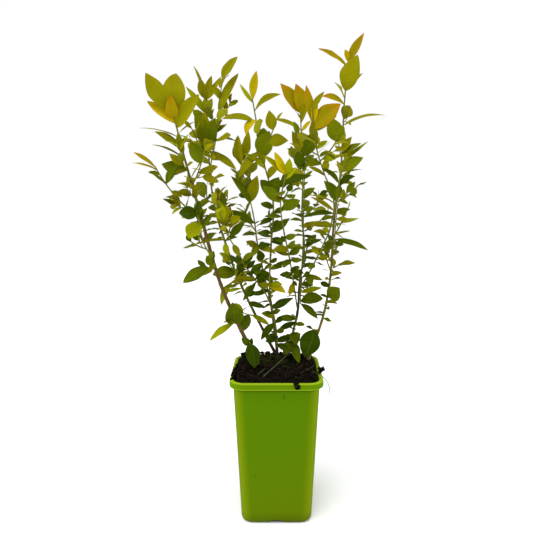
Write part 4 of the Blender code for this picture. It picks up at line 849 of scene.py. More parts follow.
def grow():
    """The limbs, the shoots with their stems, and every leaf, each clear of all the others."""
    bark = Space()
    space = Space(bark)
    limbs = {}
    for cane in CANES:
        limbs[cane.name] = limb_of(cane, limbs)
        bm = bmesh.new()
        skin(bm, limb_rings(limbs[cane.name], GUARD))
        space.take(tree_of(bm), cane.name)
        bm = bmesh.new()
        skin(bm, limb_rings(limbs[cane.name], CLEAR / 2))
        bark.take(tree_of(bm), cane.name)
    shoots = [crown_shoot(crown, limbs[crown.cane]) for crown in CROWNS]
    shoots += [side_shoot(side, limbs[side.cane]) for side in SIDES]
    shoots += [climbing_shoot(climber, limbs[climber.cane]) for climber in CLIMBERS]
    for shoot in shoots:
        for stem in shoot.stems:
            space.take(stem_guard(stem), stem.owner)
    for number, shoot in enumerate(shoots):
        add_twigs(shoot, space, random.Random(100 + number))
    leaves = []
    set_marked_leaves(shoots, space, leaves)
    for number, shoot in enumerate(shoots):
        set_rule_leaves(shoot, space, leaves, random.Random(500 + number))
    return limbs, shoots, leaves, space


# Square sections


def rounded_square(width, corner, height):
    """Corner points of a square with round corners, anticlockwise, at one height."""
    places = []
    for quarter in range(4):
        middle = math.radians(45 + 90 * quarter)
        reach = (width / 2 - corner) * math.sqrt(2)
        centre = Vector((math.cos(middle), math.sin(middle), 0)) * reach
        for k in range(POT_CORNER_STEPS + 1):
            turn = math.radians(90 * quarter + 90 * k / POT_CORNER_STEPS)
            places.append(centre + corner * Vector((math.cos(turn), math.sin(turn), 0)))
    return [(place + Vector((0, 0, height))) * MM for place in places]


def pot_width(height):
    """Outer width of the tapered body at a height."""
    return POT_FOOT_WIDTH + (POT_NECK_WIDTH - POT_FOOT_WIDTH) * height / (POT_HEIGHT - POT_RIM_HEIGHT)


# Finer growth: twiglets with a few small leaves fill out the shoots within their own reach, and
# the climbing shoots get small leaves between their larger ones

LOW_ZONE = 360.0
LOW_ZONE_SHARE = 0.75
TWIGLET_GAP = 32.0
TWIGLET_REACH = (9.0, 24.0)
TWIGLET_LEAF = (12.0, 22.0)
TWIGLET_WIDTH = (0.40, 0.56)
TWIGLET_NODES = 4.6
TWIGLET_BARE = 0.22
TWIGLET_TIP = 0.97
TWIGLET_RADIUS = 0.65
TWIGLET_END = 0.40
TWIGLET_SPREAD = 52.0
TWIGLET_VIGOUR = 0.6
TWIGLET_LIFT = Vector((0, 0, 0.25))
TWIGLET_TOP = 0.62
SMALL_GAP = 7.0
SMALL_LEAF = (12.0, 21.0)
SMALL_WIDTH = (0.40, 0.58)
SMALL_BEND = (14.0, 64.0)
SMALL_SKYWARD = Vector((0, -0.75, 0.40))
SMALL_OUT = 0.35
# How far apart the finer growth sits on some shoots, against the usual gap
GAP_SHARES = {
    "left": 0.50, "left_back": 0.55, "left_knot": 0.6, "left_back_low": 0.7, "left_heel": 0.7,
    "right_in": 2.5, "right_high": 2.5, "right_back": 2.0, "back_right_mid": 1.6, "back_right_high": 1.5,
    "rear": 1.5, "slant_low": 1.5, "slant": 1.4,
}


def small_leaf(shoot, stem, number, share, swing, size, width, rng):
    """One small leaf with the turned copies that may be tried in its place."""
    root, ahead = leaf_root(stem, share)
    side, other = square_to(ahead)
    low, tip = shoot.spread
    spread = math.radians(low + (tip - low) * share + rng.uniform(-SPREAD_SWAY, SPREAD_SWAY))
    length = rng.uniform(*size) * MM
    breadth = length * rng.uniform(*width)
    bend = math.radians(rng.uniform(*SMALL_BEND))
    roll = math.radians(rng.uniform(-ROLL, ROLL))
    tint = other_tint(shoot.tint, rng.random())
    tries = []
    for turn in SWINGS:
        angle = math.radians(swing + turn)
        out = math.cos(angle) * side + math.sin(angle) * other
        chord = (math.cos(spread) * ahead + math.sin(spread) * out + DROOP).normalized()
        faces = ALONG_STEM * ahead + SMALL_SKYWARD + SMALL_OUT * outward(root)
        normal = (faces - faces.dot(chord) * chord).normalized()
        normal = Matrix.Rotation(roll, 3, chord) @ normal
        whole = (root, chord, normal, length, breadth, bend, tint, shoot.name, number)
        tries.append(Leaf(*whole, RULE_STATIONS))
    return tries


def settle_first(tries, shoot, space, leaves):
    for leaf in tries:
        if settle(leaf, shoot, space, leaves):
            return


def add_twiglets(shoot, space, leaves, rng, gap):
    """Twiglets along every stem of a shoot, each with its own few leaves."""
    for stem in list(shoot.stems):
        count = round(stem.length / (gap * MM))
        for k in range(count):
            share = (k + rng.uniform(0.2, 0.8)) / count
            if share > TWIGLET_TOP:
                continue
            root, ahead = point_on(stem.path, share)
            side, other = square_to(ahead)
            angle = rng.uniform(0, 2 * math.pi)
            out = math.cos(angle) * side + math.sin(angle) * other
            lean = math.radians(TWIGLET_SPREAD)
            way = (math.cos(lean) * ahead + math.sin(lean) * out).normalized()
            length = rng.uniform(*TWIGLET_REACH) * MM
            path = [root, root + way * length * 0.5, root + (way + TWIGLET_LIFT).normalized() * length]
            owner = f"{shoot.name}_stem{len(shoot.stems)}"
            twiglet = make_stem(path, TWIGLET_RADIUS * MM, TWIGLET_END * MM, TWIGLET_VIGOUR, owner)
            guard = stem_guard(twiglet)
            if not space.free_for(guard, (stem.owner,)):
                continue
            space.take(guard, owner)
            shoot.stems.append(twiglet)
            leaf_twiglet(shoot, twiglet, space, leaves, rng)


def leaf_twiglet(shoot, twiglet, space, leaves, rng):
    """A few leaves round a twiglet, the last one at its tip."""
    number = len(shoot.stems) - 1
    count = max(2, round(twiglet.length / (TWIGLET_NODES * MM)))
    start = rng.uniform(0, 360)
    for i in range(count):
        share = TWIGLET_BARE + (TWIGLET_TIP - TWIGLET_BARE) * i / (count - 1)
        swing = start + i * LEAF_TURN
        sizes = (TWIGLET_LEAF, TWIGLET_WIDTH)
        settle_first(small_leaf(shoot, twiglet, number, share, swing, *sizes, rng), shoot, space, leaves)


def leaf_climber(shoot, space, leaves, rng):
    """Small leaves all along a climbing shoot, wherever there is room between the larger ones."""
    stem = shoot.stems[0]
    count = round(stem.length / (SMALL_GAP * GAP_SHARES.get(shoot.name, 1.0) * MM))
    start = rng.uniform(0, 360)
    for i in range(count):
        share = (i + 0.5) / count
        swing = start + i * LEAF_TURN
        sizes = (SMALL_LEAF, SMALL_WIDTH)
        settle_first(small_leaf(shoot, stem, 0, share, swing, *sizes, rng), shoot, space, leaves)


def grow_finer(space, shoots, leaves):
    for number, shoot in enumerate(shoots):
        rng = random.Random(900 + number)
        if shoot.spread == LEVEL_SPREAD:
            leaf_climber(shoot, space, leaves, rng)
        else:
            low = shoot.stems[0].path[0].z < LOW_ZONE * MM
            gap = TWIGLET_GAP * GAP_SHARES.get(shoot.name, 1.0)
            add_twiglets(shoot, space, leaves, rng, gap * (LOW_ZONE_SHARE if low else 1.0))


# Leaf blades: sheets in their own outline, with a narrow midrib down the middle

FINE_ACROSS = (-1.0, -0.76, -0.42, -0.045, 0.045, 0.42, 0.76, 1.0)
FINE_ROWS = 13
PLAIN_ACROSS = (-1.0, -0.55, -0.06, 0.06, 0.55, 1.0)
PLAIN_ROWS = 7
STALK_HALF = 0.45 * MM
STALK_LENGTH = 1.8 * MM
EDGE = 0.02 * MM
# What differs from leaf to leaf: where the blade is widest, how full it is, how far it folds on its
# midrib, how its edge waves and curls, how its halves differ, and its twist and sideways bow
WIDEST = (0.78, 1.06)
FULLNESS = (0.74, 1.02)
FOLD = (0.02, 0.46)
WAVE = (0.04, 0.15)
WAVES = (0.9, 2.6)
MARGIN_CURL = (-0.06, 0.20)
SKEW = 0.12
TWIST = 0.34
BOW = 0.055


def blade_template(across, rows):
    """A grid as shares across and along a blade, and its faces."""
    bm = bmesh.new()
    bmesh.ops.create_grid(bm, x_segments=len(across) - 1, y_segments=rows, size=1.0)
    bm.verts.index_update()
    spots = []
    for vert in bm.verts:
        column = round((vert.co.x + 1) / 2 * (len(across) - 1))
        row = round((vert.co.y + 1) / 2 * rows)
        spots.append((across[column], row / rows))
    faces = [[vert.index for vert in face.verts] for face in bm.faces]
    bm.free()
    spots = np.array(spots)
    return spots[:, 0], spots[:, 1], np.array(faces)


def blade_points(leaf, u, v, rng):
    """Places of a leaf's grid: bent along its length, folded on its midrib, waved at its edge."""
    ahead = np.array(math.cos(leaf.bend / 2) * leaf.chord + math.sin(leaf.bend / 2) * leaf.normal)
    upper = np.array(math.cos(leaf.bend / 2) * leaf.normal - math.sin(leaf.bend / 2) * leaf.chord)
    across = np.cross(ahead, upper)
    turned = leaf.bend * v
    reach = leaf.length / leaf.bend
    centre = reach * (np.sin(turned)[:, None] * ahead - (1 - np.cos(turned))[:, None] * upper)
    above = np.cos(turned)[:, None] * upper + np.sin(turned)[:, None] * ahead
    breadth = np.sin(np.pi * np.clip(v, 0, 1) ** rng.uniform(*WIDEST)) ** rng.uniform(*FULLNESS)
    half = leaf.width / 2 * breadth * (1 + rng.uniform(-SKEW, SKEW) * np.sign(u))
    stalk = np.clip(1 - v * leaf.length / STALK_LENGTH, 0, 1)
    half = np.maximum(half * (1 - stalk), STALK_HALF * stalk) + EDGE
    beat = np.sin(2 * np.pi * rng.uniform(*WAVES) * v + rng.uniform(0, 6.28) + u)
    lift = rng.uniform(*FOLD) * np.abs(u) + rng.uniform(*WAVE) * u * u * beat
    lift = half * (lift - rng.uniform(*MARGIN_CURL) * u**4)
    aside = u * half
    bow = rng.uniform(-BOW, BOW) * leaf.length * np.sin(np.pi * v)
    twist = rng.uniform(-TWIST, TWIST) * v
    out = bow + aside * np.cos(twist) - lift * np.sin(twist)
    up = lift * np.cos(twist) + aside * np.sin(twist)
    return np.array(leaf.root) + centre + across * out[:, None] + above * up[:, None]


def leaf_piece(name, leaves, fine, material, rng):
    """One joined mesh of the leaves, with a map along each blade and a tone for each leaf."""
    u, v, faces = FINE_BLADE if fine else PLAIN_BLADE
    places = []
    tones = []
    for leaf in leaves:
        places.append(blade_points(leaf, u, v, rng))
        tones.append(np.full(len(u), rng.uniform(-1, 1)))
    count = len(leaves)
    steps = (np.arange(count) * len(u))[:, None, None]
    corners = (faces[None, :, :] + steps).reshape(-1, 4)
    mesh = bpy.data.meshes.new(name)
    mesh.from_pydata(np.concatenate(places).tolist(), [], corners.tolist())
    chart = mesh.uv_layers.new(name="blade")
    spots = np.stack([u * 0.5 + 0.5, v], axis=1)
    chart.data.foreach_set("uv", np.tile(spots[faces.reshape(-1)], (count, 1)).ravel())
    tone = mesh.attributes.new("tone", "FLOAT", "POINT")
    tone.data.foreach_set("value", np.concatenate(tones))
    mesh.materials.append(material)
    mesh.shade_smooth()
    piece = bpy.data.objects.new(name, mesh)
    bpy.context.scene.collection.objects.link(piece)
    return piece


# Twigs and bark

TWIG_STEP = 4.0
BARK_STEP = 3.0
BARK_SIDES = 14
NODE_SPACING = 13.0
NODE_SWELL = 0.16
NODE_LENGTH = 1.3
BARK_RELIEF = 0.07


def refined(path, step):
    return spline(path, step * MM) if len(path) > 2 else even(path, step * MM)


def eased(values, count):
    """The list of values stretched to a count."""
    spots = np.linspace(0, len(values) - 1, count)
    return np.interp(spots, np.arange(len(values)), values).tolist()


def twig_piece(name, stems, sides, material):
    bm = bmesh.new()
    for stem in stems:
        path = refined(stem.path, TWIG_STEP)
        radii = eased(stem.radii, len(path))
        skin(bm, tube_rings(path, radii, sides))
    return finish_piece(name, bm, material)


def finish_piece(name, bm, material):
    bmesh.ops.recalc_face_normals(bm, faces=bm.faces)
    mesh = bpy.data.meshes.new(name)
    bm.to_mesh(mesh)
    bm.free()
    mesh.materials.append(material)
    mesh.shade_smooth()
    piece = bpy.data.objects.new(name, mesh)
    bpy.context.scene.collection.objects.link(piece)
    return piece


def bark_piece(limb, material):
    """A cane with swollen nodes and fissured bark, thicker towards its foot."""
    path = refined(limb.path, BARK_STEP)
    radii = eased(limb_radii(limb), len(path))
    rings = tube_rings(path, radii, BARK_SIDES, limb.cane.host is None)
    run = 0.0
    for k, ring in enumerate(rings):
        run += (path[k] - path[k - 1]).length if k else 0.0
        off = (run / MM) % NODE_SPACING - NODE_SPACING / 2
        swell = 1 + NODE_SWELL * math.exp(-((off / NODE_LENGTH) ** 2))
        for place in ring:
            out = place - path[k]
            spot = Vector((place.x * 700, place.y * 700, place.z * 160))
            rough = 1 + BARK_RELIEF * noise.noise(spot)
            place += out * (swell * rough - 1)
        if k == 0 and limb.cane.host is None:
            for place in ring:
                place.z = path[0].z
    bm = bmesh.new()
    skin(bm, rings)
    kind = "cane_" if limb.cane.host is None else "bough_"
    piece = finish_piece("bark_" + limb.cane.name, bm, material)
    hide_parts(kind + limb.cane.name)
    return piece


# Pot

WALL_STEPS = 12
HEEL_STEPS = 5
HEEL_ROUND = 6.0
RIM_TUCK = 1.2
RIM_PROFILE = (
    (0.02, 1.00), (0.04, 0.45), (0.10, 0.12), (0.18, 0.0), (0.30, 0.0), (0.35, 0.22), (0.40, 0.22),
    (0.45, 0.0), (0.62, 0.0), (0.66, 0.20), (0.71, 0.20), (0.75, 0.0), (0.84, 0.06), (0.92, 0.30),
    (0.98, 0.70), (1.0, 1.30),
)
NOTCH_STEPS = 8
NOTCH_SQUARENESS = 0.6


def pot_levels():
    """Outer wall, ridged rim band, mouth and inner wall, as width, corner radius and height."""
    foot = POT_HEIGHT - POT_RIM_HEIGHT
    levels = [(POT_FOOT_WIDTH - 2 * HEEL_ROUND, POT_CORNER - HEEL_ROUND, 0.0)]
    for k in range(1, HEEL_STEPS + 1):
        turn = math.radians(90 * k / HEEL_STEPS)
        tuck = HEEL_ROUND * (1 - math.sin(turn))
        levels.append((pot_width(HEEL_ROUND) - 2 * tuck, POT_CORNER - tuck, HEEL_ROUND * (1 - math.cos(turn))))
    for k in range(1, WALL_STEPS + 1):
        height = HEEL_ROUND + (foot - RIM_TUCK - HEEL_ROUND) * k / WALL_STEPS
        levels.append((pot_width(height), POT_CORNER, height))
    levels.append((pot_width(foot) + RIM_TUCK, POT_CORNER, foot - 0.2))
    for share, out in RIM_PROFILE:
        width = POT_RIM_WIDTH - 2 * POT_RIM_ROUND * out
        levels.append((width, POT_RIM_CORNER - out, foot + share * POT_RIM_HEIGHT))
    levels.append((POT_MOUTH_WIDTH + 2.4, POT_CORNER + 0.5, POT_HEIGHT))
    levels.append((POT_MOUTH_WIDTH + 0.6, POT_CORNER, POT_HEIGHT - 0.7))
    levels.append((POT_MOUTH_WIDTH, POT_CORNER - 1, POT_HEIGHT - 2.2))
    walls = 2 * POT_WALL
    for height in (foot - POT_STEP_DROP, 2 * foot / 3, foot / 3, POT_FLOOR + 2):
        levels.append((pot_width(height) - walls, POT_CORNER - POT_WALL, height))
    levels.append((pot_width(POT_FLOOR) - walls - 3, POT_CORNER - POT_WALL - 1.5, POT_FLOOR))
    return levels


def build_pot(material):
    bm = bmesh.new()
    skin(bm, [rounded_square(*level) for level in pot_levels()])
    pot = finish_piece("green_pot", bm, material)
    cutters = [cut_notch(pot, quarter) for quarter in range(4)]
    graph = bpy.context.evaluated_depsgraph_get()
    pot.data = bpy.data.meshes.new_from_object(pot.evaluated_get(graph))
    pot.modifiers.clear()
    for cutter in cutters:
        bpy.data.objects.remove(cutter, do_unlink=True)
    pot.data.set_sharp_from_angle(angle=math.radians(40))
    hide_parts("pot")
    return pot


def cut_notch(pot, quarter):
    """A drain notch through the foot of one wall, with a round top."""
    turn = Matrix.Rotation(math.radians(90 * quarter), 4, "Z")
    half = NOTCH_WIDTH / 2
    outline = [Vector((-half, 0, -CUT_PAST)), Vector((half, 0, -CUT_PAST))]
    for k in range(NOTCH_STEPS + 1):
        angle = math.radians(180 * k / NOTCH_STEPS)
        bulge = math.copysign(abs(math.cos(angle)) ** NOTCH_SQUARENESS, math.cos(angle))
        rise = NOTCH_HEIGHT * abs(math.sin(angle)) ** NOTCH_SQUARENESS + 0.05
        outline.append(Vector((half * bulge, 0, rise)))
    wall = POT_FOOT_WIDTH / 2
    rings = []
    for depth in (wall + CUT_PAST, wall - NOTCH_DEPTH):
        rings.append([turn @ ((corner - Vector((0, depth, 0))) * MM) for corner in outline])
    bm = bmesh.new()
    skin(bm, rings)
    bmesh.ops.recalc_face_normals(bm, faces=bm.faces)
    mesh = bpy.data.meshes.new("notch_cutter")
    bm.to_mesh(mesh)
    bm.free()
    cutter = bpy.data.objects.new("notch_cutter", mesh)
    bpy.context.scene.collection.objects.link(cutter)
    cutter.hide_render = True
    cut = pot.modifiers.new(f"notch_{quarter}", "BOOLEAN")
    cut.operation = "DIFFERENCE"
    cut.object = cutter
    return cutter


# Peat

PEAT_RINGS = 40
PEAT_ROUGH = 4.6
PEAT_SINK = 0.7
PEAT_LUMPS = ((70, 0.60), (190, 0.38), (430, 0.30), (900, 0.16))
PEAT_REACH = 50.0


def heap(place):
    """How far the peat's rough surface stands above its level at a place."""
    spot = Vector((place.x, place.y, 0))
    lumps = sum(share * noise.noise(spot * scale) for scale, share in PEAT_LUMPS)
    return (PEAT_ROUGH * lumps - PEAT_SINK) * MM


def peat_level(share):
    """The plug's own height at a share of the way from its middle to the wall."""
    return float(np.interp(
        share,
        [0, PEAT_LEVEL_SHARE, PEAT_SHOULDER_SHARE, 1],
        [PEAT_TOP, PEAT_TOP, PEAT_SHOULDER, PEAT_EDGE],
    ))


def peat_mouth():
    """Width of the peat where it meets the wall under the rim."""
    return pot_width(POT_HEIGHT - POT_RIM_HEIGHT) - 2 * (POT_WALL + CLEAR / MM) - CLEAR / MM


def peat_height(x, y):
    """Height of the finished surface under a spot, in metres."""
    share = min(max(abs(x), abs(y)) / (peat_mouth() / 2 * MM), 1.0)
    return peat_level(share) * MM + heap(Vector((x, y, 0)))


def build_peat(material):
    air = 2 * (POT_WALL + CLEAR / MM)
    foot = POT_FLOOR + CLEAR / MM
    neck = POT_HEIGHT - POT_RIM_HEIGHT - POT_STEP_DROP - PEAT_BELOW_STEP
    corner = POT_CORNER - POT_WALL
    rings = [rounded_square(pot_width(foot) - air, corner, foot)]
    rings.append(rounded_square(pot_width(neck) - air, corner, neck))
    for k in range(PEAT_RINGS):
        share = 1 - k / PEAT_RINGS
        ring = rounded_square(peat_mouth() * share, corner * share, peat_level(share))
        if k:
            for place in ring:
                place.z += heap(place)
        rings.append(ring)
    centre = Vector((0, 0, PEAT_TOP * MM))
    centre.z += heap(centre)
    bm = bmesh.new()
    skin(bm, rings, centre)
    piece = finish_piece("peat_surface", bm, material)
    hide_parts("peat")
    return piece


def scatter_spot(rng, reach=PEAT_REACH):
    return rng.uniform(-reach, reach) * MM, rng.uniform(-reach, reach) * MM


CRUMB_COUNT = 1500
CRUMB_SIZES = (0.6, 0.9, 1.2, 1.5, 2.0, 2.8)
# Crumbs that lie on the rim and cling to the wall: middle of the clump and its reach in
# millimetres, how many, and their sizes
RIM_CLUMPS = (
    ((25, -59, 198.6), (3.0, 1.0, 1.0), 16, (0.8, 1.6)),
    ((25.3, -60.8, 194.8), (3.6, 0.5, 3.2), 30, (0.7, 1.6)),
    ((-55.6, -26, 199.8), (2.4, 18.0, 1.8), 70, (0.9, 2.2)),
    ((-54.5, 4, 199.4), (1.6, 8.0, 1.2), 20, (0.8, 1.7)),
    ((59.0, -18, 201.5), (3.4, 4.5, 3.0), 50, (0.9, 2.0)),
    ((-27.8, -50.2, 69.7), (0.3, 0.1, 0.5), 4, (0.4, 0.7)),
)


def crumb(rng, places, size, spot):
    """One crumb: a lump of twenty faces, squashed, roughened and turned."""
    turn = np.array(Matrix.Rotation(rng.uniform(0, 6.28), 3, "Z"))
    shape = places * np.array([rng.uniform(0.7, 1.4), rng.uniform(0.7, 1.3), rng.uniform(0.5, 0.9)])
    shape = shape * np.array([[rng.uniform(0.8, 1.2)] for _ in places])
    return shape @ turn.T * size + np.array(spot)


def build_crumbs(material):
    """Crumbs of peat over the surface and on the rim."""
    rng = random.Random(31)
    seed = bmesh.new()
    bmesh.ops.create_icosphere(seed, subdivisions=1, radius=1.0)
    seed.verts.index_update()
    places = np.array([vert.co for vert in seed.verts])
    faces = np.array([[vert.index for vert in face.verts] for face in seed.faces])
    seed.free()
    points = []
    for _ in range(CRUMB_COUNT):
        x, y = scatter_spot(rng)
        size = rng.choice(CRUMB_SIZES) * MM * rng.uniform(0.7, 1.3)
        points.append(crumb(rng, places, size, (x, y, peat_height(x, y) + 0.25 * size)))
    for middle, reach, count, sizes in RIM_CLUMPS:
        for _ in range(count):
            size = rng.uniform(*sizes) * MM
            spot = [(m + r * rng.uniform(-1, 1)) * MM for m, r in zip(middle, reach)]
            points.append(crumb(rng, places, size, spot))
    corners = [faces + k * len(places) for k in range(len(points))]
    mesh = bpy.data.meshes.new("peat_crumbs")
    mesh.from_pydata(np.concatenate(points).tolist(), [], np.concatenate(corners).tolist())
    mesh.materials.append(material)
    piece = bpy.data.objects.new("peat_crumbs", mesh)
    bpy.context.scene.collection.objects.link(piece)
    return piece


def build_chips(material):
    """Flat chips of bark, bevelled and lying at small tilts on the peat."""
    rng = random.Random(47)
    bm = bmesh.new()
    for _ in range(64):
        x, y = scatter_spot(rng, 48.0)
        size = (rng.uniform(2.5, 9.0) * MM, rng.uniform(1.4, 3.6) * MM, rng.uniform(0.7, 1.3) * MM)
        turn = Matrix.Rotation(rng.uniform(0, 6.28), 4, "Z") @ Matrix.Rotation(rng.uniform(-0.4, 0.4), 4, "Y")
        place = Matrix.Translation((x, y, peat_height(x, y) + 0.6 * MM))
        made = bmesh.ops.create_cube(bm, size=1.0, matrix=place @ turn @ Matrix.Diagonal((*size, 1)))
        for vert in made["verts"]:
            vert.co += Vector([rng.uniform(-0.4, 0.4) * MM for _ in range(3)])
        edges = {edge for vert in made["verts"] for edge in vert.link_edges}
        bmesh.ops.bevel(
            bm, geom=list(edges), offset=0.22 * MM, offset_type="OFFSET", affect="EDGES",
            segments=1, profile=0.5, material=-1,
        )
    return finish_piece("bark_chips", bm, material)


FIBRE_COUNT = 46
FIBRE_LENGTH = (6.0, 20.0)
FIBRE_RADIUS = (0.12, 0.28)


def build_fibres(material):
    """Dry fibres and thin roots that curl over the peat and its edge."""
    rng = random.Random(59)
    limit = (PEAT_REACH + 1) * MM
    bm = bmesh.new()
    for _ in range(FIBRE_COUNT):
        x, y = scatter_spot(rng, 46.0)
        heading = rng.uniform(0, 6.28)
        length = rng.uniform(*FIBRE_LENGTH)
        points = []
        for k in range(5):
            px = min(max(x + math.cos(heading) * length * MM * k / 4, -limit), limit)
            py = min(max(y + math.sin(heading) * length * MM * k / 4, -limit), limit)
            heading += rng.uniform(-0.5, 0.5)
            points.append(Vector((px, py, peat_height(px, py) + rng.uniform(0.4, 1.9) * MM)))
        path = refined(points, 2.0)
        skin(bm, tube_rings(path, [rng.uniform(*FIBRE_RADIUS) * MM] * len(path), 4))
    return finish_piece("peat_fibres", bm, material)


# Dry stalks on the peat and a fine root over the rim: points in millimetres and foot radius
STALKS = (
    (((-16.3, -50, 204.5), (-3.3, -28, 209), (12.5, -2, 215.5), (22, 8, 222)), 1.0),
    (((-24, -42, 204), (-18, -34, 206), (-14, -22, 206)), 0.7),
    (((46, -30, 204), (54, -38, 203), (61, -45, 200), (65.5, -55, 194), (66.6, -58, 181)), 0.62),
    (((9.1, -55.3, 181.5), (9.4, -55.1, 178.5), (9.8, -54.9, 175.5)), 0.4),
    (((30, -40, 205), (43, -30, 208), (52, -24, 212)), 0.4),
)


def build_stalks(material):
    bm = bmesh.new()
    for way, radius in STALKS:
        path = refined([Vector(point) * MM for point in way], 2.5)
        radii = [radius * MM * (1 - 0.5 * k / len(path)) for k in range(len(path))]
        skin(bm, tube_rings(path, radii, 6))
    return finish_piece("dry_stalks", bm, material)


# Shader groups


def new_group(name, inputs, outputs):
    group = bpy.data.node_groups.new(name, "ShaderNodeTree")
    for title, kind, value in inputs:
        socket = group.interface.new_socket(title, in_out="INPUT", socket_type=kind)
        if value is not None:
            socket.default_value = value
    for title in outputs:
        group.interface.new_socket(title, in_out="OUTPUT", socket_type="NodeSocketFloat")
    return group, group.nodes.new("NodeGroupInput"), group.nodes.new("NodeGroupOutput")


def feed(tree, value, socket):
    if isinstance(value, (int, float, tuple)):
        socket.default_value = value
    elif value is not None:
        tree.links.new(value, socket)


def math_node(tree, kind, first, second=None, third=None):
    node = tree.nodes.new("ShaderNodeMath")
    node.operation = kind
    for socket, value in zip(node.inputs, (first, second, third)):
        feed(tree, value, socket)
    return node.outputs[0]


def clamped(tree, value):
    return math_node(tree, "MINIMUM", math_node(tree, "MAXIMUM", value, 0.0), 1.0)


def mix_colour(tree, factor, first, second):
    node = tree.nodes.new("ShaderNodeMix")
    node.data_type = "RGBA"
    for socket, value in zip((node.inputs[0], node.inputs[6], node.inputs[7]), (factor, first, second)):
        feed(tree, (*value, 1.0) if isinstance(value, tuple) and len(value) == 3 else value, socket)
    return node.outputs[2]


def map_range(tree, value, start, end):
    """The value as a share of the way from start to end, kept between 0 and 1."""
    node = tree.nodes.new("ShaderNodeMapRange")
    feed(tree, value, node.inputs["Value"])
    node.inputs["From Min"].default_value = start
    node.inputs["From Max"].default_value = end
    return node.outputs[0]


def noise_node(tree, vector, scale, detail=3.0, rough=0.5):
    node = tree.nodes.new("ShaderNodeTexNoise")
    feed(tree, vector, node.inputs["Vector"])
    feed(tree, scale, node.inputs["Scale"])
    node.inputs["Detail"].default_value = detail
    node.inputs["Roughness"].default_value = rough
    return node.outputs["Fac"]


def split(tree, vector):
    node = tree.nodes.new("ShaderNodeSeparateXYZ")
    tree.links.new(vector, node.inputs[0])
    return node.outputs


def blade_group():
    """Masks of the midrib, veins, margin and tip, from a map that runs along the blade."""
    inputs = [("Map", "NodeSocketVector", None), ("Pairs", "NodeSocketFloat", 6.0)]
    group, start, end = new_group("blade_marks", inputs, ("Rib", "Veins", "Margin", "Tip"))
    across, along, _ = split(group, start.outputs["Map"])
    away = math_node(group, "ABSOLUTE", math_node(group, "MULTIPLY_ADD", across, 2.0, -1.0))
    group.links.new(map_range(group, away, 0.09, 0.02), end.inputs["Rib"])
    slant = math_node(group, "MULTIPLY_ADD", away, -0.22, along)
    beat = math_node(group, "FRACT", math_node(group, "MULTIPLY", slant, start.outputs["Pairs"]))
    line = math_node(group, "ABSOLUTE", math_node(group, "SUBTRACT", beat, 0.5))
    thin = math_node(group, "SUBTRACT", 1.0, math_node(group, "DIVIDE", line, 0.10))
    fade = math_node(group, "SUBTRACT", 1.0, math_node(group, "POWER", away, 3.0))
    veins = math_node(group, "MULTIPLY", math_node(group, "MAXIMUM", thin, 0.0), fade)
    group.links.new(veins, end.inputs["Veins"])
    group.links.new(math_node(group, "POWER", away, 9.0), end.inputs["Margin"])
    group.links.new(map_range(group, along, 0.62, 1.05), end.inputs["Tip"])
    return group


def mottle_group():
    """Soft and fine variation over the surface, as two values about a half."""
    inputs = [
        ("Place", "NodeSocketVector", None),
        ("Wide", "NodeSocketFloat", 40.0),
        ("Close", "NodeSocketFloat", 400.0),
    ]
    group, start, end = new_group("mottle", inputs, ("Broad", "Fine"))
    group.links.new(noise_node(group, start.outputs["Place"], start.outputs["Wide"], 2.0), end.inputs["Broad"])
    group.links.new(noise_node(group, start.outputs["Place"], start.outputs["Close"], 4.0), end.inputs["Fine"])
    return group


def add_group(tree, group, **values):
    """A group placed in a material, with each input linked to an output or set to a number."""
    node = tree.nodes.new("ShaderNodeGroup")
    node.node_tree = group
    for title, value in values.items():
        feed(tree, value, node.inputs[title])
    return node.outputs


def new_material(name, mottle, wide, close, gloss):
    """A material with its shader, its mottling and the place on the object."""
    material = bpy.data.materials.new(name)
    material.use_nodes = True
    tree = material.node_tree
    shader = tree.nodes["Principled BSDF"]
    shader.inputs["Specular IOR Level"].default_value = gloss
    place = tree.nodes.new("ShaderNodeTexCoord").outputs["Object"]
    spots = add_group(tree, mottle, Place=place, Wide=wide, Close=close)
    return material, tree, shader, place, spots


def add_bump(tree, shader, height, strength, distance):
    bump = tree.nodes.new("ShaderNodeBump")
    bump.inputs["Strength"].default_value = strength
    bump.inputs["Distance"].default_value = distance
    feed(tree, height, bump.inputs["Height"])
    tree.links.new(bump.outputs["Normal"], shader.inputs["Normal"])


# Materials

# Upper side in the shade and in the light, and under side
LEAF_COLOURS = {
    "deep": ((0.022, 0.044, 0.0004), (0.066, 0.100, 0.0008), (0.105, 0.135, 0.006)),
    "green": ((0.050, 0.078, 0.0004), (0.140, 0.170, 0.001), (0.175, 0.195, 0.008)),
    "olive": ((0.125, 0.130, 0.0006), (0.245, 0.235, 0.001), (0.285, 0.275, 0.010)),
    "lime": ((0.180, 0.210, 0.0008), (0.290, 0.310, 0.001), (0.340, 0.345, 0.012)),
    "gold": ((0.250, 0.215, 0.0008), (0.480, 0.370, 0.001), (0.450, 0.360, 0.015)),
    "bronze": ((0.200, 0.170, 0.0008), (0.320, 0.245, 0.001), (0.330, 0.255, 0.012)),
}
LEAF_GLOSS = 0.015
# Heights between which the leaves turn from shaded and dark to lit and pale, and by how much
PALE_FROM = 0.24
PALE_TO = 0.56
PALE_SHARE = 0.55
TONE_SHARE = 0.36
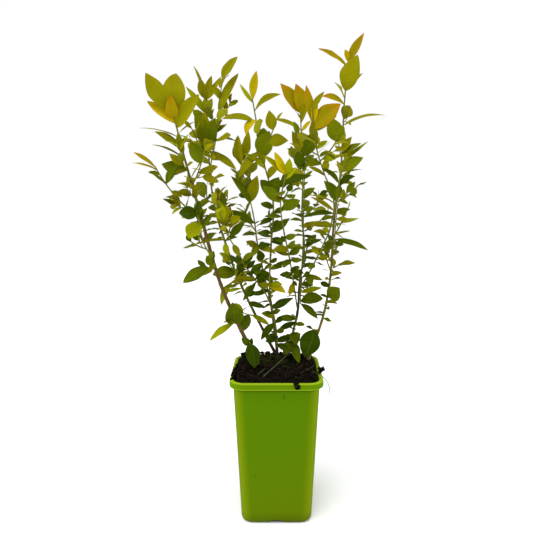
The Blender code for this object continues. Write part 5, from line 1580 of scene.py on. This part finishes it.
# Margin and tip of the young leaves, and how strongly they show
MARGINS = {
    "gold": ((0.420, 0.220, 0.003), 0.5),
    "bronze": ((0.440, 0.130, 0.003), 0.75),
    "olive": ((0.230, 0.150, 0.002), 0.35),
}
BROWN_BARK = ((0.048, 0.028, 0.006), (0.160, 0.100, 0.024))
TAN_BARK = ((0.055, 0.042, 0.008), (0.220, 0.160, 0.036))
DARK_BARK = ((0.010, 0.005, 0.004), (0.062, 0.036, 0.020))
OLIVE_BARK = ((0.026, 0.032, 0.005), (0.120, 0.125, 0.020))
GREEN_BARK = ((0.055, 0.070, 0.008), (0.160, 0.170, 0.022))


def leaf_material(tint, blade, mottle):
    shade, bright, under = LEAF_COLOURS[tint]
    material, tree, shader, place, spots = new_material("leaf_" + tint, mottle, 55.0, 900.0, LEAF_GLOSS)
    chart = tree.nodes.new("ShaderNodeUVMap")
    chart.uv_map = "blade"
    marks = add_group(tree, blade, Map=chart.outputs[0])
    tone = tree.nodes.new("ShaderNodeAttribute")
    tone.attribute_name = "tone"
    climb = map_range(tree, split(tree, place)[2], PALE_FROM, PALE_TO)
    pale = math_node(tree, "MULTIPLY_ADD", climb, PALE_SHARE, -PALE_SHARE / 2)
    lean = math_node(tree, "MULTIPLY_ADD", tone.outputs["Fac"], TONE_SHARE, spots["Broad"])
    lean = math_node(tree, "ADD", lean, pale)
    upper = mix_colour(tree, lean, shade, bright)
    lines = math_node(tree, "MAXIMUM", math_node(tree, "MULTIPLY", marks["Veins"], 0.5), marks["Rib"])
    upper = mix_colour(tree, math_node(tree, "MULTIPLY", lines, 0.30), upper, under)
    if tint in MARGINS:
        edge, strength = MARGINS[tint]
        reach = math_node(tree, "MAXIMUM", marks["Margin"], marks["Tip"])
        upper = mix_colour(tree, math_node(tree, "MULTIPLY", reach, strength), upper, edge)
    back = tree.nodes.new("ShaderNodeNewGeometry").outputs["Backfacing"]
    colour = mix_colour(tree, math_node(tree, "MULTIPLY", back, 0.75), upper, under)
    tree.links.new(colour, shader.inputs["Base Color"])
    rough = math_node(tree, "MULTIPLY_ADD", spots["Fine"], 0.22, 0.38)
    feed(tree, math_node(tree, "MULTIPLY_ADD", back, 0.2, rough), shader.inputs["Roughness"])
    height = math_node(tree, "MULTIPLY_ADD", marks["Veins"], -0.8, spots["Fine"])
    add_bump(tree, shader, height, 0.35, 0.0004)
    return material


def bark_material(name, foot, top, turn, mottle):
    """Streaked bark whose foot pair of colours turns into the top pair about a height."""
    material, tree, shader, place, spots = new_material(name, mottle, 90.0, 1400.0, 0.05)
    stretch = tree.nodes.new("ShaderNodeMapping")
    stretch.inputs["Scale"].default_value = (1.0, 1.0, 0.12)
    tree.links.new(place, stretch.inputs["Vector"])
    streaks = noise_node(tree, stretch.outputs[0], 1500.0, 4.0, 0.6)
    climb = map_range(tree, split(tree, place)[2], turn[0] * MM, turn[1] * MM)
    drift = math_node(tree, "MULTIPLY_ADD", spots["Broad"], 0.8, -0.4)
    edge = clamped(tree, math_node(tree, "ADD", climb, drift))
    low = mix_colour(tree, streaks, *foot)
    high = mix_colour(tree, streaks, *top)
    tree.links.new(mix_colour(tree, edge, low, high), shader.inputs["Base Color"])
    feed(tree, math_node(tree, "MULTIPLY_ADD", streaks, 0.3, 0.5), shader.inputs["Roughness"])
    add_bump(tree, shader, streaks, 0.6, 0.0006)
    return material


def twig_material(mottle):
    material, tree, shader, _, spots = new_material("green_twig", mottle, 70.0, 900.0, 0.05)
    colour = mix_colour(tree, spots["Broad"], (0.075, 0.095, 0.006), (0.250, 0.240, 0.018))
    blush = math_node(tree, "MULTIPLY", math_node(tree, "GREATER_THAN", spots["Fine"], 0.60), 0.5)
    tree.links.new(mix_colour(tree, blush, colour, (0.240, 0.090, 0.025)), shader.inputs["Base Color"])
    feed(tree, math_node(tree, "MULTIPLY_ADD", spots["Fine"], 0.3, 0.35), shader.inputs["Roughness"])
    add_bump(tree, shader, spots["Fine"], 0.4, 0.0003)
    return material


POT_FACE = ((0.070, 0.182, 0.0003), (0.098, 0.160, 0.0003))
# Painted highlight: a paler, yellower colour laid down the pot's round corners
POT_CORNER_HIGHLIGHT = (0.160, 0.220, 0.0005)
POT_BAND = (0.110, 0.215, 0.001)
# Painted highlight: a pale colour laid along the top and bottom edges of the rim band
POT_RIM_HIGHLIGHT = (0.270, 0.380, 0.012)
# Painted shade: a darker colour on the wall just under the rim's overhang
POT_UNDER_RIM_SHADE = (0.045, 0.085, 0.0003)
POT_DIRT = (0.055, 0.062, 0.003)
POT_GLOSS = 0.012


def pot_material(mottle):
    """Satin moulded plastic: yellower down the face, a painted highlight, paler and yellower, down the corners
    and along the rim's edges, and painted shade just under the rim.
    """
    material, tree, shader, place, spots = new_material("pot_plastic", mottle, 14.0, 1600.0, POT_GLOSS)
    x, y, z = split(tree, place)
    narrower = math_node(tree, "MINIMUM", math_node(tree, "ABSOLUTE", x), math_node(tree, "ABSOLUTE", y))
    level = math_node(tree, "MULTIPLY_ADD", z, -0.044, math_node(tree, "ADD", narrower, 0.0083))
    corner = map_range(tree, level, 0.040, 0.053)
    fall = map_range(tree, z, 0.17, 0.02)
    lean = math_node(tree, "MULTIPLY_ADD", spots["Broad"], 0.5, math_node(tree, "MULTIPLY", fall, 0.6))
    wall = mix_colour(tree, lean, *POT_FACE)
    # Painted highlight: the corner mask lays a paler, yellower colour down the round corners
    wall = mix_colour(tree, corner, wall, POT_CORNER_HIGHLIGHT)
    foot = (POT_HEIGHT - POT_RIM_HEIGHT) * MM
    soiled = math_node(tree, "MULTIPLY", map_range(tree, z, 0.016, 0.001), spots["Broad"])
    wall = mix_colour(tree, soiled, wall, POT_DIRT)
    # Painted shade: the wall turns darker in the last few millimetres under the rim
    wall = mix_colour(tree, map_range(tree, z, foot - 0.004, foot - 0.001), wall, POT_UNDER_RIM_SHADE)
    # Painted highlight: pale bands at the rim band's bottom and top edges
    band = mix_colour(tree, map_range(tree, z, foot + 0.0022, foot + 0.0006), POT_BAND, POT_RIM_HIGHLIGHT)
    band = mix_colour(tree, map_range(tree, z, foot + 0.0075, foot + 0.0088), band, POT_RIM_HIGHLIGHT)
    base = mix_colour(tree, math_node(tree, "GREATER_THAN", z, foot), wall, band)
    tree.links.new(base, shader.inputs["Base Color"])
    feed(tree, math_node(tree, "MULTIPLY_ADD", spots["Fine"], 0.18, 0.34), shader.inputs["Roughness"])
    add_bump(tree, shader, spots["Fine"], 0.12, 0.0002)
    return material


# A greener patch about a middle point on the peat, fading outwards and broken up by noise
def green_patch_mask(tree, place, spots):
    gap = tree.nodes.new("ShaderNodeVectorMath")
    gap.operation = "DISTANCE"
    tree.links.new(place, gap.inputs[0])
    gap.inputs[1].default_value = PEAT_GREEN_MIDDLE
    near = map_range(tree, gap.outputs["Value"], *PEAT_GREEN_REACH)
    return math_node(tree, "MULTIPLY", near, map_range(tree, spots["Broad"], 0.35, 0.60))


def rough_material(name, colours, bright, share, mottle, greened=False):
    """A dull crumbly finish: two colours mottled together, with flecks of a third."""
    material, tree, shader, place, spots = new_material(name, mottle, 120.0, 1100.0, 0.02)
    base = mix_colour(tree, spots["Broad"], *colours)
    if greened:
        base = mix_colour(tree, green_patch_mask(tree, place, spots), base, PEAT_GREEN)
    fleck = math_node(tree, "MULTIPLY", math_node(tree, "GREATER_THAN", spots["Fine"], 0.58), share)
    tree.links.new(mix_colour(tree, fleck, base, bright), shader.inputs["Base Color"])
    feed(tree, math_node(tree, "MULTIPLY_ADD", spots["Fine"], 0.1, 0.88), shader.inputs["Roughness"])
    add_bump(tree, shader, spots["Fine"], 0.9, 0.0010)
    return material


# Stage, light and camera

WORLD_LIGHT = 0.66
SUN_POWER = 2.3
SIDE_POWER = 7.0


def build_stage():
    bm = bmesh.new()
    bmesh.ops.create_grid(bm, x_segments=2, y_segments=2, size=3.0)
    mesh = bpy.data.meshes.new("floor")
    bm.to_mesh(mesh)
    bm.free()
    floor = bpy.data.objects.new("floor", mesh)
    bpy.context.scene.collection.objects.link(floor)
    material = bpy.data.materials.new("pale_floor")
    material.use_nodes = True
    shader = material.node_tree.nodes["Principled BSDF"]
    shader.inputs["Base Color"].default_value = (0.95, 0.95, 0.95, 1)
    shader.inputs["Roughness"].default_value = 0.9
    mesh.materials.append(material)
    floor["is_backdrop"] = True


def add_lamp(name, kind, place, target, size, power):
    lamp = bpy.data.lights.new(name, kind)
    lamp.energy = power
    if kind == "SUN":
        lamp.angle = size
    else:
        lamp.shape = "DISK"
        lamp.size = size
    thing = bpy.data.objects.new(name, lamp)
    bpy.context.scene.collection.objects.link(thing)
    thing.location = place
    thing.rotation_euler = (Vector(target) - Vector(place)).to_track_quat("-Z", "Y").to_euler()


def build_light():
    """A soft white surround, brighter to the eye than on the plant, a high sun and two side lamps."""
    world = bpy.data.worlds.new("studio")
    bpy.context.scene.world = world
    world.use_nodes = True
    tree = world.node_tree
    seen = tree.nodes.new("ShaderNodeLightPath").outputs["Is Camera Ray"]
    strength = math_node(tree, "MULTIPLY_ADD", seen, 1.0 - WORLD_LIGHT, WORLD_LIGHT)
    tree.nodes["Background"].inputs["Color"].default_value = (1, 1, 1, 1)
    tree.links.new(strength, tree.nodes["Background"].inputs["Strength"])
    add_lamp("sun", "SUN", (-0.3, -0.5, 1.5), (0, 0, 0), math.radians(50), SUN_POWER)
    for side in (-1, 1):
        add_lamp(f"side_{side}", "AREA", (1.3 * side, -0.25, 0.45), (0, 0, 0.3), 0.9, SIDE_POWER)


def build_camera():
    camera = bpy.data.cameras.new("photo_view")
    thing = bpy.data.objects.new("photo_view", camera)
    bpy.context.scene.collection.objects.link(thing)
    camera.sensor_width = 36.0
    camera.lens = 31.05
    thing.location = (0.0, -0.623, 0.4166)
    thing.rotation_euler = (math.radians(90 - 8.48), 0, 0)
    bpy.context.scene.camera = thing
    bpy.context.scene.view_settings.view_transform = "Standard"


# Assembly

FINE_BLADE = blade_template(FINE_ACROSS, FINE_ROWS)
PLAIN_BLADE = blade_template(PLAIN_ACROSS, PLAIN_ROWS)
LEAF_SLOTS = {"lime": "leaf_olive", "gold": "leaf_olive", "bronze": "leaf_olive"}
# Canes whose bark isn't olive: its colours, and the heights in millimetres where it turns green
OTHER_BARKS = {
    "left": (BROWN_BARK, (380, 450)), "right": (TAN_BARK, (400, 480)), "centre": (DARK_BARK, (250, 340)),
    "back_right": (DARK_BARK, (260, 350)), "left_back": (DARK_BARK, (215, 300)),
}


def place_piece(piece, slot):
    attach(piece, "root")


def build_foliage(shoots, leaves, mottle):
    blade = blade_group()
    nodes = ["shoot_" + shoot.name for shoot in shoots]
    rng = random.Random(77)
    for tint in TINTS:
        material = leaf_material(tint, blade, mottle)
        for fine, kind in ((True, "large_leaves_"), (False, "leaves_")):
            own = [leaf for leaf in leaves if leaf.tint == tint and (leaf.stations == MARKED_STATIONS) == fine]
            if own:
                piece = leaf_piece(kind + tint, own, fine, material, rng)
                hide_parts(*nodes)
                place_piece(piece, LEAF_SLOTS.get(tint, "leaf_" + tint))
    material = twig_material(mottle)
    main = [stem for shoot in shoots for stem in shoot.stems]
    thick = [stem for stem in main if stem.radii[0] > TWIG_RADIUS * MM]
    thin = [stem for stem in main if stem.radii[0] <= TWIG_RADIUS * MM]
    for name, stems, sides in (("shoot_stems", thick, 8), ("twigs", thin, 6)):
        piece = twig_piece(name, stems, sides, material)
        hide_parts(*nodes)
        place_piece(piece, "leaf_green")


def build_canes(limbs, mottle):
    olive = bark_material("olive_bark", OLIVE_BARK, GREEN_BARK, (260, 380), mottle)
    barks = {
        name: bark_material(name + "_bark", colours, GREEN_BARK, turn, mottle)
        for name, (colours, turn) in OTHER_BARKS.items()
    }
    for limb in limbs.values():
        place_piece(bark_piece(limb, barks.get(limb.cane.name, olive)), "bark")


PEAT_COLOURS = ((0.0012, 0.0010, 0.0024), (0.0080, 0.0058, 0.0040))
PEAT_FLECK = (0.026, 0.021, 0.011)
# Greener patch in the middle of the peat: its colour, the middle of the patch and how far it fades, in metres
PEAT_GREEN = (0.030, 0.036, 0.006)
PEAT_GREEN_MIDDLE = (-0.002, 0.020, 0.205)
PEAT_GREEN_REACH = (0.036, 0.012)
CHIP_COLOURS = ((0.012, 0.005, 0.003), (0.042, 0.019, 0.012))
CHIP_FLECK = (0.060, 0.032, 0.022)
STRAW_COLOURS = ((0.030, 0.032, 0.011), (0.095, 0.092, 0.038))
STRAW_FLECK = (0.150, 0.145, 0.070)


def build_pot_and_peat(mottle):
    place_piece(build_pot(pot_material(mottle)), "pot")
    peat = rough_material("moist_peat", PEAT_COLOURS, PEAT_FLECK, 0.7, mottle, greened=True)
    chips = rough_material("red_chips", CHIP_COLOURS, CHIP_FLECK, 0.5, mottle)
    straw = rough_material("dry_straw", STRAW_COLOURS, STRAW_FLECK, 0.4, mottle)
    pieces = [build_peat(peat), build_crumbs(peat), build_chips(chips)]
    pieces += [build_fibres(straw), build_stalks(straw)]
    for piece in pieces:
        place_piece(piece, "peat")


limbs, shoots, leaves, space = grow()
grow_finer(space, shoots, leaves)
mottle = mottle_group()
build_foliage(shoots, leaves, mottle)
build_canes(limbs, mottle)
build_pot_and_peat(mottle)
build_stage()
build_light()
build_camera()
boxes = {"frame": frame_size, "visual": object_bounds()}
{name: [list(corner) for corner in box] for name, box in boxes.items()}
